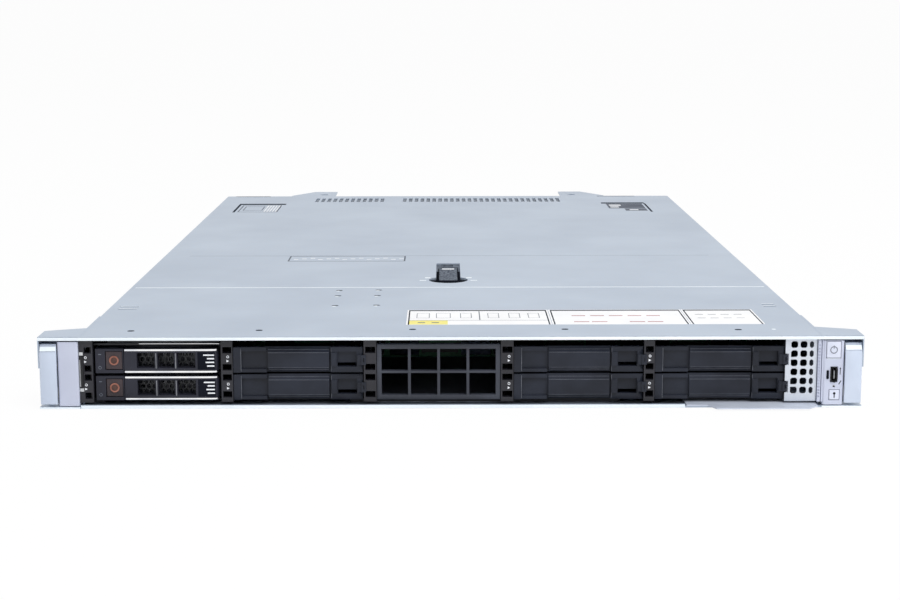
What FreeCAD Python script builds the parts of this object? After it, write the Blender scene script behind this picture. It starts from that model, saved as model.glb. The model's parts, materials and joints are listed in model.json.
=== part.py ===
"""A 1U rack server with ten small-drive bays, modelled as an assembly of separate pieces.

Frame: X to the right, Y to the back, Z up, in millimetres.  The formulas of every piece count Y
from the front faces of the rack ears; FRONT then moves the whole server so that the middle of its
footprint is at the origin.  Z is counted from the underside of the chassis.
"""
import FreeCAD
import Part
import Sketcher
import math
import os
import re
from FreeCAD import Vector

# Name, millimetres (or a count, or degrees), meaning.
DIMENSIONS = [
    ("ear_span", 482, "width across the rack ears"),
    ("body_wide", 434, "width of the chassis"),
    ("tall", 42.8, "height of the chassis"),
    ("sheet_thick", 1, "sheet steel"),
    ("sheet_top", 42.7, "upper face of the top sheets"),
    ("slide_gap", 0.3, "air between a sliding piece and its neighbour"),
    ("body_end", 722, "rear face of the chassis"),
    ("tab_end", 771, "rear end of the cord tabs"),
    ("flange_back", 22, "rear face of the rack flanges"),
    ("seam_y", 174, "joint between the fixed front panel and the cover"),
    ("hem_low", 40.6, "underside of the folded hem at the front"),
    ("flange_low", 34, "lower edge of the side flanges of the top sheets"),
    ("tray_side", 41.6, "top of the tray's side walls"),
    ("lip_tall", 2.2, "height of the lip at the front of the tray"),
    ("tag_left", 138, "left end of the information tag"),
    ("tag_right", 214.5, "right end of the information tag"),
    ("tag_step", 152.6, "where the tag's grip begins"),
    ("tag_out", 9.5, "how far the grip stands out of the front"),
    ("tag_low", 1.15, "underside of the tag"),
    ("tag_thick", 0.8, "thickness of the tag"),
    ("tag_back", 95, "rear end of the tag"),
    ("bay_face", 4, "front faces of the drives, behind the front"),
    ("cage_front", 6, "front of the drive cage"),
    ("cage_back", 132, "rear of the drive cage"),
    ("cage_left", -211.9, "left side of the drive cage"),
    ("cage_right", 197, "right side of the drive cage"),
    ("cage_floor", 2.4, "underside of the cage floor"),
    ("cage_top", 39.6, "top of the cage walls"),
    ("low_row", 4.2, "underside of the lower row of drives"),
    ("row_pitch", 16.3, "from one row of drives to the next"),
    ("bay_tall", 14.5, "height of a drive carrier"),
    ("post_left_b", -134.8, "left edge of the first post"),
    ("post_right_b", -128, "right edge of the first post"),
    ("post_left_c", -51.2, "left edge of the second post"),
    ("post_right_c", -43.8, "right edge of the second post"),
    ("post_left_d", 29.2, "left edge of the third post"),
    ("post_right_d", 36.6, "right edge of the third post"),
    ("post_left_e", 113.2, "left edge of the fourth post"),
    ("post_right_e", 119.4, "right edge of the fourth post"),
    ("post_hole", 3.8, "height of a square hole in a post"),
    ("carrier_left", -208.4, "left side of the drive carriers"),
    ("carrier_wide", 72.3, "width of a drive carrier"),
    ("button_left", -202.4, "left side of a carrier's release button"),
    ("button_side", 9.6, "side of a carrier's release button"),
    ("handle_left", -191.6, "left end of a carrier's handle"),
    ("handle_deep", 6, "depth of a carrier's handle"),
    ("drive_wide", 69.85, "width of a small-form drive"),
    ("drive_long", 100.45, "length of a small-form drive"),
    ("drive_tall", 15, "height of a small-form drive"),
    ("drive_front", 27, "front end of the drives"),
    ("blank_wide", 76, "width of a drive blank"),
    ("blank_tall", 15.1, "height of a drive blank"),
    ("blank_deep", 52, "rear end of a blank's arms"),
    ("vent_left", 195.9, "left edge of the perforated front panel"),
    ("vent_right", 214.3, "right edge of the perforated front panel"),
    ("vent_hole", 4, "side of a hole in the perforated panel"),
    ("vent_pitch", 5.45, "from one hole to the next in the perforated panel"),
    ("panel_in", 217.7, "inner edge of a control panel"),
    ("panel_out", 229.8, "outer edge of a control panel"),
    ("panel_low", 1.6, "lower edge of a control panel"),
    ("panel_top", 39.9, "upper edge of a control panel"),
    ("lever_in", 230.3, "inner edge of a slam latch lever"),
    ("lever_low", 2.9, "lower edge of a lever"),
    ("lever_top", 38.4, "upper edge of a lever"),
    ("lever_bend", 32.6, "where a lever begins to lean back"),
    ("lever_pin_y", 6, "pivot of a lever, behind the front"),
    ("lever_pin_z", 35.5, "pivot of a lever, above the underside"),
    ("rack_hole", 232.55, "rack screw, from the centre line"),
    ("rack_hole_r", 2.6, "radius of a rack screw's hole"),
    ("screw_z", 21.4, "height of the rack screws"),
    ("latch_x", -1, "centre of the cover latch"),
    ("latch_y", 206, "centre of the latch's finger recess"),
    ("recess_r", 12.4, "radius of the finger recess"),
    ("latch_pin_y", 264, "pivot of the cover latch"),
    ("latch_pin_z", 40.1, "height of the cover latch's pivot"),
    ("stem_half", 6.5, "half the width of the latch's stem"),
    ("slot_pitch", 5.7, "from one vent slot to the next"),
    ("slot_wide", 3.4, "width of a vent slot"),
    ("slot_front", 674, "front end of the vent slots"),
    ("slot_long", 29, "length of the vent slots"),
    ("tab_in", 112, "inner edge of a cord tab"),
    ("fan_front", 178, "front face of the fans"),
    ("fan_deep", 28, "depth of a fan"),
    ("fan_side", 40, "side of a fan"),
    ("fan_mid", 21, "height of the fans' axes"),
    ("fan_first", 48, "nearest fan, from the centre line"),
    ("fan_pitch", 62, "from one fan to the next"),
    ("shaft_r", 1.5, "radius of a fan's shaft"),
    ("bore_r", 18.6, "radius of a fan's duct"),
    ("hub_r", 9.5, "radius of a fan's hub"),
    ("blade_r", 18.1, "radius of a fan's blades"),
    ("board_low", 5, "underside of the system board"),
    ("board_thick", 1.6, "thickness of the system board"),
    ("board_front", 226, "front edge of the system board"),
    ("cpu_x", 100, "centre of a processor, from the centre line"),
    ("cpu_y", 366, "centre of the processors"),
    ("sink_wide", 78, "width of a heat sink"),
    ("sink_long", 108, "length of a heat sink"),
    ("dimm_long", 133.35, "length of a memory module"),
    ("dimm_tall", 31.25, "height of a memory module"),
    ("dimm_pitch", 7.62, "from one memory module to the next"),
    ("psu_in", 155, "inner side of a power supply"),
    ("psu_wide", 58, "width of a power supply"),
    ("psu_low", 1.5, "underside of a power supply"),
    ("psu_tall", 39.4, "height of a power supply"),
    ("psu_front", 536, "front end of a power supply"),
    ("psu_handle_end", 764, "rear end of a power supply's handle"),
]

ALIASES = {name for name, number, note in DIMENSIONS}
WORD = re.compile(r"[a-z_]+[a-z_0-9]*")
FRONT = "(tag_out - tab_end) / 2"
BACKWARD = FreeCAD.Rotation(Vector(1, 0, 0), -90)
SIDEWAYS = FreeCAD.Rotation(Vector(0, 1, 0), 90)
UPRIGHT = FreeCAD.Rotation()
FLAT_SIDED = BACKWARD.multiply(FreeCAD.Rotation(Vector(0, 0, 1), 22.5))
SIDES = {"left": -1, "right": 1}

doc = FreeCAD.newDocument("rack_server")
sheet = doc.addObject("Spreadsheet::Sheet", "dims")
parts = []


# ---------------------------------------------------------------- the sheet and the formulas

def fill_sheet():
    """Write each dimension as a plain number with its alias, and its meaning beside it."""
    for row, (name, number, note) in enumerate(DIMENSIONS, start=1):
        sheet.set(f"A{row}", name)
        sheet.set(f"B{row}", str(number))
        sheet.setAlias(f"B{row}", name)
        sheet.set(f"C{row}", note)
    doc.recompute()


def formula(text):
    """Put the sheet's name before each alias in a formula."""
    return WORD.sub(lambda word: "dims." + word.group(0) if word.group(0) in ALIASES else word.group(0),
                    str(text))


def bind(item, prop, text):
    """Bind one property of an object to a formula of the sheet."""
    item.setExpression(prop, formula(text))


def number(text):
    """The value of a formula now."""
    return float(sheet.evalExpression(formula(text)))


def place(item, x, y, z, turn=UPRIGHT):
    """Put an object at a point given by formulas, Y counted from the front."""
    item.Placement = FreeCAD.Placement(Vector(0, 0, 0), turn)
    bind(item, "Placement.Base.x", x)
    bind(item, "Placement.Base.y", f"{FRONT} + ({y})")
    bind(item, "Placement.Base.z", z)
    return item


# ---------------------------------------------------------------- primitives and booleans

def box(name, xs, ys, zs):
    """A box between two formulas on each axis."""
    item = doc.addObject("Part::Box", name)
    for prop, (low, high) in zip(("Length", "Width", "Height"), (xs, ys, zs)):
        bind(item, prop, f"({high}) - ({low})")
    return place(item, xs[0], ys[0], zs[0])


def rod(name, start, radius, length, turn=UPRIGHT):
    """A cylinder from a point, upright unless turned."""
    item = doc.addObject("Part::Cylinder", name)
    bind(item, "Radius", radius)
    bind(item, "Height", length)
    return place(item, *start, turn)


def facets(name, start, sides, radius, length, turn=UPRIGHT):
    """A prism on a regular polygon, given the radius to its corners."""
    item = doc.addObject("Part::Prism", name)
    item.Polygon = sides
    bind(item, "Circumradius", radius)
    bind(item, "Height", length)
    return place(item, *start, turn)


def join(name, pieces):
    """One solid from pieces that meet."""
    item = doc.addObject("Part::MultiFuse", name)
    item.Shapes = pieces
    item.Refine = True
    return item


def group(name, pieces):
    """Separate solids kept in one object."""
    item = doc.addObject("Part::Compound", name)
    item.Links = pieces
    return item


def cut(name, base, tools):
    """A base less its tools, which don't overlap one another."""
    item = doc.addObject("Part::Cut", name)
    item.Base = base
    item.Tool = tools[0] if len(tools) == 1 else group(name + "_tools", tools)
    item.Refine = True
    return item


def common(name, first, second):
    """What two objects share."""
    item = doc.addObject("Part::Common", name)
    item.Base = first
    item.Tool = second
    return item


def rounded(name, base, edges, radius):
    """Rounded edges, given by their numbers."""
    item = doc.addObject("Part::Fillet", name)
    item.Base = base
    item.Edges = [(edge, number(radius), number(radius)) for edge in edges]
    return item


def across(side, inner, outer):
    """The X range of a piece beside the centre line, on either side."""
    return (inner, outer) if side == "right" else (f"-({outer})", f"-({inner})")


# ---------------------------------------------------------------- bodies made from sketches

def body(name, y="0", z="0", x="0"):
    """An empty body at a point given by formulas."""
    return place(doc.addObject("PartDesign::Body", name), x, y, z)


def sketch(item, plane, offset="0"):
    """A sketch on an origin plane of its body, offset along +X, +Y or +Z."""
    drawing = item.newObject("Sketcher::SketchObject", item.Name + "_sketch")
    support = [feature for feature in item.Origin.OriginFeatures if feature.Role == plane + "_Plane"]
    drawing.AttachmentSupport = [(support[0], "")]
    drawing.MapMode = "FlatFace"
    bind(drawing, "AttachmentOffset.Base.z", f"-({offset})" if plane == "XZ" else offset)
    return drawing


def fix(drawing, kind, shape, point, text):
    """Fix a point's distance from the sketch's origin by a formula."""
    index = drawing.addConstraint(Sketcher.Constraint(kind, -1, 1, shape, point, number(text)))
    drawing.setExpression(f"Constraints[{index}]", formula(text))


def outline(drawing, corners):
    """A closed outline through corners, each a pair of formulas."""
    spots = [Vector(number(across_), number(up), 0) for across_, up in corners]
    lines = [drawing.addGeometry(Part.LineSegment(spots[i - 1], spots[i])) for i in range(len(spots))]
    for i, line in enumerate(lines):
        drawing.addConstraint(Sketcher.Constraint("Coincident", lines[i - 1], 2, line, 1))
    for line, (across_, up) in zip(lines, corners):
        fix(drawing, "DistanceX", line, 2, across_)
        fix(drawing, "DistanceY", line, 2, up)


def frame(drawing, xs, ys):
    """A rectangle between two formulas on each axis."""
    outline(drawing, [(xs[0], ys[0]), (xs[1], ys[0]), (xs[1], ys[1]), (xs[0], ys[1])])


def eased(drawing, xs, ys, corner):
    """A rectangle with its corners cut off."""
    (left, right), (low, high) = xs, ys
    outline(drawing, [
        (f"{left} + {corner}", low), (f"{right} - {corner}", low), (right, f"{low} + {corner}"),
        (right, f"{high} - {corner}"), (f"{right} - {corner}", high), (f"{left} + {corner}", high),
        (left, f"{high} - {corner}"), (left, f"{low} + {corner}")])


def circle(drawing, x, y, radius):
    """A circle, its centre and radius given by formulas."""
    ring = drawing.addGeometry(Part.Circle(Vector(number(x), number(y), 0), Vector(0, 0, 1), number(radius)))
    fix(drawing, "DistanceX", ring, 3, x)
    fix(drawing, "DistanceY", ring, 3, y)
    index = drawing.addConstraint(Sketcher.Constraint("Radius", ring, number(radius)))
    drawing.setExpression(f"Constraints[{index}]", formula(radius))


def pad(item, drawing, length):
    """Raise a sketch towards +X, +Y or +Z."""
    feature = item.newObject("PartDesign::Pad", item.Name + "_pad")
    feature.Profile = drawing
    bind(feature, "Length", length)
    plane = drawing.AttachmentSupport[0][0].Role
    feature.Reversed = plane == "XZ_Plane"
    doc.recompute()
    return feature


def pocket(item, drawing, depth, upward=False):
    """Cut a sketch towards -X or -Z, or towards +Y; upward turns it round."""
    feature = item.newObject("PartDesign::Pocket", item.Name + "_pocket")
    feature.Profile = drawing
    bind(feature, "Length", depth)
    feature.Reversed = upward
    doc.recompute()
    if not feature.Shape.Volume < feature.BaseFeature.Shape.Volume - 1e-6:
        raise RuntimeError(feature.Name + " cuts nothing")
    return feature


def row(item, feature, axis, pitch, count):
    """Repeat a feature in a line and make the row the body's tip."""
    pattern = item.newObject("PartDesign::LinearPattern", item.Name + "_row")
    pattern.Originals = [feature]
    direction = [line for line in item.Origin.OriginFeatures if line.Role == axis + "_Axis"]
    pattern.Direction = (direction[0], [""])
    bind(pattern, "Length", f"({pitch}) * ({count} - 1)")
    pattern.Occurrences = count
    item.Tip = pattern
    return pattern


def prism(name, plane, corners, start, length):
    """A body made by raising one outline from a plane."""
    item = body(name)
    drawing = sketch(item, plane, start)
    outline(drawing, corners)
    pad(item, drawing, length)
    return item


def keep(item, label):
    """Take a finished object as a sub-part of the server."""
    item.Label = label
    parts.append(item)


# ---------------------------------------------------------------- sheet metal of the chassis

def chassis_tray():
    """The U-shaped tray: floor, side walls, and the lip that the information tag passes through."""
    tray = body("tray")
    half = "body_wide / 2"
    channel = sketch(tray, "XZ", "cage_front")
    outline(channel, [(f"-{half}", "0"), (half, "0"), (half, "tray_side"),
                      (f"{half} - sheet_thick", "tray_side"), (f"{half} - sheet_thick", "sheet_thick"),
                      (f"sheet_thick - {half}", "sheet_thick"), (f"sheet_thick - {half}", "tray_side"),
                      (f"-{half}", "tray_side")])
    pad(tray, channel, "body_end - cage_front")
    apron = sketch(tray, "XZ")
    frame(apron, (f"-{half}", half), ("0", "sheet_thick"))
    pad(tray, apron, "cage_front")
    lip = sketch(tray, "XZ")
    frame(lip, (f"-{half}", "tag_left - 0.6"), ("0", "lip_tall"))
    pad(tray, lip, "1.2")
    pillars = [facets(f"pillar_{i}_{j}", (x, y, "sheet_thick - 0.2"), 6, "3.2", "board_low - sheet_thick + 0.2")
               for i, x in enumerate(("-190", "-66", "60", "190")) for j, y in enumerate(("250", "480"))]
    keep(join("tray_whole", [tray] + pillars), "chassis_tray")


def cord_tab(side):
    """A tab that stands out behind the rear wall, sloped on its outer side, with a strap hole."""
    sign = SIDES[side]
    tab = body(f"{side}_tab")
    drawing = sketch(tab, "XY", "tray_side - 1.2")
    outline(drawing, [(f"{sign} * tab_in", "body_end - 1.2"), (f"{sign} * (tab_in + 43)", "body_end - 1.2"),
                      (f"{sign} * (tab_in + 43)", "body_end + 15"), (f"{sign} * (tab_in + 22)", "tab_end"),
                      (f"{sign} * tab_in", "tab_end")])
    circle(drawing, f"{sign} * (tab_in + 11.5)", "body_end + 23", "4")
    pad(tab, drawing, "1.2")
    return tab


def rear_wall():
    """The rear wall between the power supplies, with its cut-outs, partitions and cord tabs."""
    wall = body("wall")
    plate = sketch(wall, "XZ", "body_end - 1.2")
    frame(plate, ("-153.4", "153.4"), ("sheet_thick", "tray_side"))
    pad(wall, plate, "1.2")
    holes = sketch(wall, "XZ", "body_end - 1.2")
    frame(holes, ("-147", "-71"), ("9", "31"))
    frame(holes, ("-60", "-44"), ("board_low + board_thick - 0.4", "23"))
    frame(holes, ("-36.4", "-21"), ("board_low + board_thick - 0.4", "22.8"))
    frame(holes, ("-7", "14"), ("9.2", "17.4"))
    frame(holes, ("29", "107"), ("12", "33"))
    frame(holes, ("115", "146"), ("12", "36"))
    pocket(wall, holes, "1.2")
    first = sketch(wall, "XZ", "body_end - 1.2")
    frame(first, ("-138", "-129.2"), ("34", "38"))
    vents = pocket(wall, first, "1.2")
    row(wall, vents, "X", "2 * slot_pitch", 21)
    partitions = [box(f"{side}_partition", across(side, "153.4", "154.4"), ("body_end - 190", "body_end"),
                      ("sheet_thick", "tray_side")) for side in SIDES]
    ends = [box(f"{side}_wall_end", across(side, "153", "153.4"), ("body_end - 1.2", "body_end"),
                ("sheet_thick", "tray_side")) for side in SIDES]
    keep(join("rear_frame", [wall] + partitions + ends + [cord_tab(side) for side in SIDES]), "rear_wall")


def top_sheet(name, start, end):
    """A flat sheet across the chassis."""
    item = body(name)
    half = "body_wide / 2"
    flat = sketch(item, "XZ", start)
    frame(flat, (f"0.1 - {half}", f"{half} - 0.1"), ("sheet_top - sheet_thick", "sheet_top"))
    pad(item, flat, f"({end}) - ({start})")
    return item


def side_flanges(name, start, end):
    """The two flanges below a top sheet, each just inside a side wall."""
    outer = "body_wide / 2 - sheet_thick - slide_gap"
    return [box(f"{name}_flange_{side}", across(side, f"{outer} - sheet_thick", outer), (start, end),
                ("flange_low", "sheet_top - sheet_thick")) for side in SIDES]


def front_top_panel():
    """The fixed top panel over the drives, with a folded hem along its front edge."""
    panel = top_sheet("panel", "0", "seam_y - slide_gap")
    hem = sketch(panel, "XZ")
    frame(hem, ("-body_wide / 2 + 0.1", "body_wide / 2 - 0.1"), ("hem_low + 0.8", "sheet_top - sheet_thick"))
    pad(panel, hem, "1")
    dents = sketch(panel, "XY", "sheet_top")
    for xs, ys in ((("-211", "-199"), ("92", "94.5")), (("-211", "-199"), ("100", "102.5")),
                   (("200", "208"), ("98", "100.5")), (("200", "208"), ("105", "107.5"))):
        frame(dents, xs, ys)
    pocket(panel, dents, "0.4")
    keep(join("panel_folded", [panel] + side_flanges("panel", "8", "seam_y - slide_gap - 14")),
         "front_top_panel")


def top_cover():
    """The removable cover: latch opening, two rows of vent slots, and a flange strip on either side."""
    cover = top_sheet("cover", "seam_y", "body_end")
    opening = sketch(cover, "XY", "sheet_top")
    frame(opening, ("latch_x - stem_half - 2.1", "latch_x + stem_half + 2.1"),
          ("latch_y", "latch_pin_y + 18"))
    pocket(cover, opening, "sheet_thick + 0.2")
    dish = sketch(cover, "XY", "sheet_top")
    circle(dish, "latch_x", "latch_y", "recess_r + 1.2")
    pocket(cover, dish, "sheet_thick + 0.2")
    edge_slots = sketch(cover, "XY", "sheet_top")
    frame(edge_slots, ("-209", "-175"), ("body_end - 5", "body_end - 2.6"))
    frame(edge_slots, ("147", "184"), ("body_end - 5", "body_end - 2.6"))
    pocket(cover, edge_slots, "sheet_thick + 0.2")
    for start, count in (("-128", 12), ("-43.6", 27)):
        slot = sketch(cover, "XY", "sheet_top")
        frame(slot, (start, f"{start} + slot_wide"), ("slot_front", "slot_front + slot_long"))
        row(cover, pocket(cover, slot, "sheet_thick + 0.2"), "X", "slot_pitch", count)
    keep(group("cover_sheets", [cover] + side_flanges("cover", "seam_y + 6", "body_end - 14")), "top_cover")


def cover_latch_housing():
    """The cup under the cover that holds the latch: a round finger recess and a channel."""
    low = "tall - 6.2"
    side = "stem_half + 2"
    under = "sheet_top - sheet_thick"
    shell = join("cup_shell", [
        box("cup_block", ("latch_x - recess_r - 1", "latch_x + recess_r + 1"),
            ("latch_y - recess_r - 1", "latch_y + 8"), (low, under)),
        box("cup_channel", (f"latch_x - {side}", f"latch_x + {side}"), ("latch_y", "latch_pin_y + 17.8"),
            (low, "tall - 0.6")),
        box("cup_flange", ("latch_x - 17", "latch_x + 17"), ("latch_y - 16", "latch_pin_y + 21"),
            ("tall - 2", under)),
    ])
    hollow = join("cup_hollow", [
        rod("cup_round_in", ("latch_x", "latch_y", f"{low} + 0.9"), "recess_r", "8"),
        box("cup_channel_in", ("latch_x - stem_half - 0.8", "latch_x + stem_half + 0.8"),
            ("latch_y", "latch_pin_y + 3"), (f"{low} + 0.9", "tall + 1")),
        box("cup_slot_in", ("latch_x - 3.6", "latch_x + 3.6"),
            ("latch_pin_y + 6", "latch_pin_y + 14"), (f"{low} + 0.9", "tall + 1")),
    ])
    pin = rod("cup_pin", (f"latch_x - {side} + 0.5", "latch_pin_y", "latch_pin_z"), "1",
              f"2 * ({side}) - 1", SIDEWAYS)
    keep(join("cup", [cut("cup_open", shell, [hollow]), pin]), "cover_latch_housing")


def cover_latch():
    """The latch lever: a flat stem on a pin at its rear end, with a cross-bar for the finger."""
    top = "latch_pin_z + 1.8"
    stem = box("latch_stem", ("latch_x - stem_half", "latch_x + stem_half"), ("latch_y + 2", "latch_pin_y"),
               ("latch_pin_z - 1.8", top))
    bar = common("latch_bar", box("latch_bar_box", ("latch_x - recess_r", "latch_x + recess_r"),
                                  ("latch_y - 4", "latch_y + 3"), ("latch_pin_z - 1.4", top)),
                 rod("latch_bar_round", ("latch_x", "latch_y", "latch_pin_z - 1.4"), "recess_r - 0.5", "3.2"))
    barrel = rod("latch_barrel", ("latch_x - stem_half", "latch_pin_y", "latch_pin_z"), "1.8",
                 "2 * stem_half", SIDEWAYS)
    lever = join("latch_lever", [stem, bar, barrel])
    bore = rod("latch_bore", ("latch_x - 10", "latch_pin_y", "latch_pin_z"), "1.05", "20", SIDEWAYS)
    slot = box("latch_slot", ("latch_x - 3.6", "latch_x + 3.6"), ("latch_pin_y - 9", "latch_pin_y - 6"),
               ("latch_pin_z - 3", "latch_pin_z + 3"))
    keep(cut("latch", lever, [bore, slot]), "cover_latch")


# ---------------------------------------------------------------- drive bays

POSTS = ("b", "c", "d", "e")
ROWS = {"lower": "low_row", "upper": "(low_row + row_pitch)"}


def cage_wall(letter):
    """One upright wall of the cage: its wider front post, the guides beside it, and the post's holes."""
    left, right = f"post_left_{letter}", f"post_right_{letter}"
    middle = f"({left} + {right}) / 2"
    zs = ("cage_floor + 0.8", "cage_top")
    wall = box(f"wall_{letter}", (f"{middle} - 0.6", f"{middle} + 0.6"), ("cage_front", "cage_back"), zs)
    post = box(f"post_{letter}", (left, right), ("bay_face - 0.6", "bay_face + 5"), zs)
    guide = box(f"guide_{letter}", (f"{middle} - 6", f"{middle} + 6"), ("60", "cage_back"),
                ("low_row + bay_tall + 0.55", "low_row + row_pitch - 0.35"))
    whole = join(f"wall_{letter}_whole", [wall, post, guide])
    return cut(f"wall_{letter}_open", whole, post_holes(letter))


def post_holes(letter):
    """The deep square holes in a post: two beside each bay."""
    xs = (f"post_left_{letter} + 0.9", f"post_right_{letter} - 0.6")
    holes = []
    for name, level in ROWS.items():
        for step, height in enumerate(("1.6", "11.8")):
            holes.append(box(f"hole_{letter}_{name}_{step}", xs, ("bay_face - 1", "bay_face + 14"),
                             (f"{level} + {height}", f"{level} + {height} + post_hole")))
    return holes


def drive_cage():
    """The welded cage that holds the drives: base, feet, end walls, and four walls with posts."""
    base = ("cage_floor", "cage_floor + 0.8")
    above = ("cage_floor + 0.8", "cage_top")
    below = ("sheet_thick", "cage_floor")
    between = ("low_row + bay_tall + 0.55", "low_row + row_pitch - 0.35")
    deep = ("cage_front + 7", "cage_back")
    sheets = [
        box("cage_base", ("cage_left", "cage_right"), deep, base),
        box("cage_end_left", ("cage_left", "cage_left + 1"), ("cage_front", "cage_back"), above),
        box("cage_end_right", ("cage_right - 1", "cage_right"), ("cage_front", "cage_back"), above),
        box("cage_bar", ("cage_left + 1", "post_left_b"), ("cage_front + 1", "cage_front + 3"),
            ("cage_top - 2.9", "cage_top - 1.9")),
        box("cage_foot_left", ("cage_left", "cage_left + 7"), deep, below),
        box("cage_foot_mid", ("-60", "100"), deep, below),
        box("guide_end_left", ("cage_left + 1", "cage_left + 5.4"), ("60", "cage_back"), between),
        box("guide_end_right", ("cage_right - 5", "cage_right - 1"), ("60", "cage_back"), between),
    ]
    keep(group("cage", sheets + [cage_wall(letter) for letter in POSTS]), "drive_cage")


def backplane():
    """The board behind the drives, with air windows beneath, between and above the connectors."""
    board = body("backplane_board")
    plate = sketch(board, "XZ", "cage_back + 2")
    frame(plate, ("-212", "212"), ("3", "37.6"))
    pad(board, plate, "2.4")
    window = sketch(board, "XZ", "cage_back + 2")
    frame(window, ("-205", "-186"), ("3.8", "34.2"))
    frame(window, ("-158", "-138"), ("3.8", "34.2"))
    row(board, pocket(board, window, "2.4"), "X", "82.6", 5)
    keep(board, "drive_backplane")


def drive_connectors():
    """Ten drive connectors on the front of the backplane, each with its slot."""
    connectors = []
    for column in range(5):
        for name, level in ROWS.items():
            left = f"{column} * 82.6 - 184"
            shell = box(f"socket_{column}_{name}", (left, f"{left} + 24"), ("cage_back - 4", "cage_back + 2"),
                        (f"{level} + 3", f"{level} + 8"))
            slot = box(f"socket_slot_{column}_{name}", (f"{left} + 2", f"{left} + 22"),
                       ("cage_back - 5", "cage_back - 0.5"), (f"{level} + 4.8", f"{level} + 6.2"))
            connectors.append(cut(f"connector_{column}_{name}", shell, [slot]))
    keep(group("connectors", connectors), "drive_connectors")


def carrier_frame(name, level):
    """A drive carrier: control block with the button's well, vented front, two arms and hinge lugs."""
    left, right = "carrier_left", "(carrier_left + carrier_wide)"
    pivot_x, pivot_y = f"{right} - 3.2", "bay_face + 3"
    top = f"{level} + bay_tall"
    zs = (level, top)
    back = "drive_front + drive_long"
    pieces = [
        box(f"{name}_arm_left", (left, f"{left} + 1.2"), ("bay_face + 12", back), zs),
        box(f"{name}_arm_right", (f"{right} - 1.2", right), ("bay_face + 12", back), zs),
        box(f"{name}_front", (left, right), ("bay_face + 11", "bay_face + 13"), zs),
        box(f"{name}_block", (left, "handle_left - 0.4"), ("bay_face", "bay_face + 13"), zs),
    ]
    for end, low, pin_low in (("low", level, level), ("high", f"{top} - 1.3", f"{top} - 3.8")):
        pieces.append(box(f"{name}_lug_{end}", (f"{pivot_x} - 1.5", f"{pivot_x} + 1.5"),
                          (f"{pivot_y} - 1.3", "bay_face + 12"), (low, f"{low} + 1.3")))
        pieces.append(rod(f"{name}_pin_{end}", (pivot_x, pivot_y, pin_low), "0.9", "3.8"))
    well = box(f"{name}_well", ("button_left - 0.3", "button_left + button_side + 0.3"),
               ("bay_face - 1", "bay_face + 8.5"), (f"{level} + 1.9", f"{level} + 13.1"))
    slots = [box(f"{name}_slot_{i}", (f"handle_left + 8 + {i} * 4.2", f"handle_left + 10.6 + {i} * 4.2"),
                 ("bay_face + 10", "bay_face + 14"), (f"{level} + 2.9", f"{level} + 12.1"))
             for i in range(8)]
    keep(cut(f"{name}_frame_open", join(f"{name}_frame_whole", pieces), [well] + slots), f"{name}_frame")


def carrier_handle(name, level):
    """A swing handle: two barred windows, a rounded end on its pins, and room for the lugs."""
    right = "(carrier_left + carrier_wide)"
    pivot_x, pivot_y = f"{right} - 3.2", "bay_face + 3"
    zs = (f"{level} + 0.1", f"{level} + bay_tall - 0.1")
    grip = box(f"{name}_grip", ("handle_left", pivot_x), ("bay_face", "bay_face + handle_deep"), zs)
    end = rod(f"{name}_grip_end", (pivot_x, pivot_y, zs[0]), "3", "bay_tall - 0.2")
    windows = [box(f"{name}_window_{i}", (f"handle_left + {start}", f"handle_left + {stop}"),
                   ("bay_face - 1", "bay_face + handle_deep + 1"), (f"{level} + 2.9", f"{level} + 12.1"))
               for i, (start, stop) in enumerate(((7.4, 17.9), (19.6, 29.3), (31, 41.7)))]
    rooms = []
    for edge, low in (("low", f"{level} - 1"), ("high", f"{level} + bay_tall - 1.5")):
        rooms.append(box(f"{name}_room_{edge}", (f"{pivot_x} - 2.6", f"{right} + 1"),
                         (f"{pivot_y} - 2.2", "bay_face + handle_deep + 1"), (low, f"{low} + 2.5")))
    bore = rod(f"{name}_bore", (pivot_x, pivot_y, f"{level} + 1.5"), "0.95", "bay_tall - 3")
    keep(cut(f"{name}_handle_open", join(f"{name}_handle_whole", [grip, end]), windows + rooms + [bore]),
         f"{name}_handle")


def carrier_button(name, level):
    """A square release button with a raised round boss on its face."""
    middle = ("button_left + button_side / 2", f"{level} + 7.5")
    block = box(f"{name}_key", ("button_left", "button_left + button_side"), ("bay_face + 0.4", "bay_face + 6.5"),
                (f"{level} + 2.2", f"{level} + 12.8"))
    boss = facets(f"{name}_boss", (middle[0], "bay_face", middle[1]), 16, "3.3", "1", BACKWARD)
    keep(join(f"{name}_button_whole", [block, boss]), f"{name}_button")


def drive(name, level):
    """A small-form drive: a rounded case with a connector notch at its rear."""
    left = "carrier_left + (carrier_wide - drive_wide) / 2"
    low = f"{level} - (drive_tall - bay_tall) / 2"
    case = box(f"{name}_case", (left, f"{left} + drive_wide"), ("drive_front", "drive_front + drive_long"),
               (low, f"{low} + drive_tall"))
    soft = rounded(f"{name}_soft", case, (1, 5), "2")
    notch = box(f"{name}_notch", (f"{left} + 22", f"{left} + 48"), ("drive_front + drive_long - 5",
                "drive_front + drive_long + 1"), (f"{low} - 1", f"{low} + 4"))
    step = box(f"{name}_step", (f"{left} + 4", f"{left} + drive_wide - 4"), ("drive_front + 4",
               "drive_front + drive_long - 12"), (f"{low} + drive_tall - 0.4", f"{low} + drive_tall + 1"))
    keep(cut(f"{name}_done", soft, [notch, step]), name)


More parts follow.
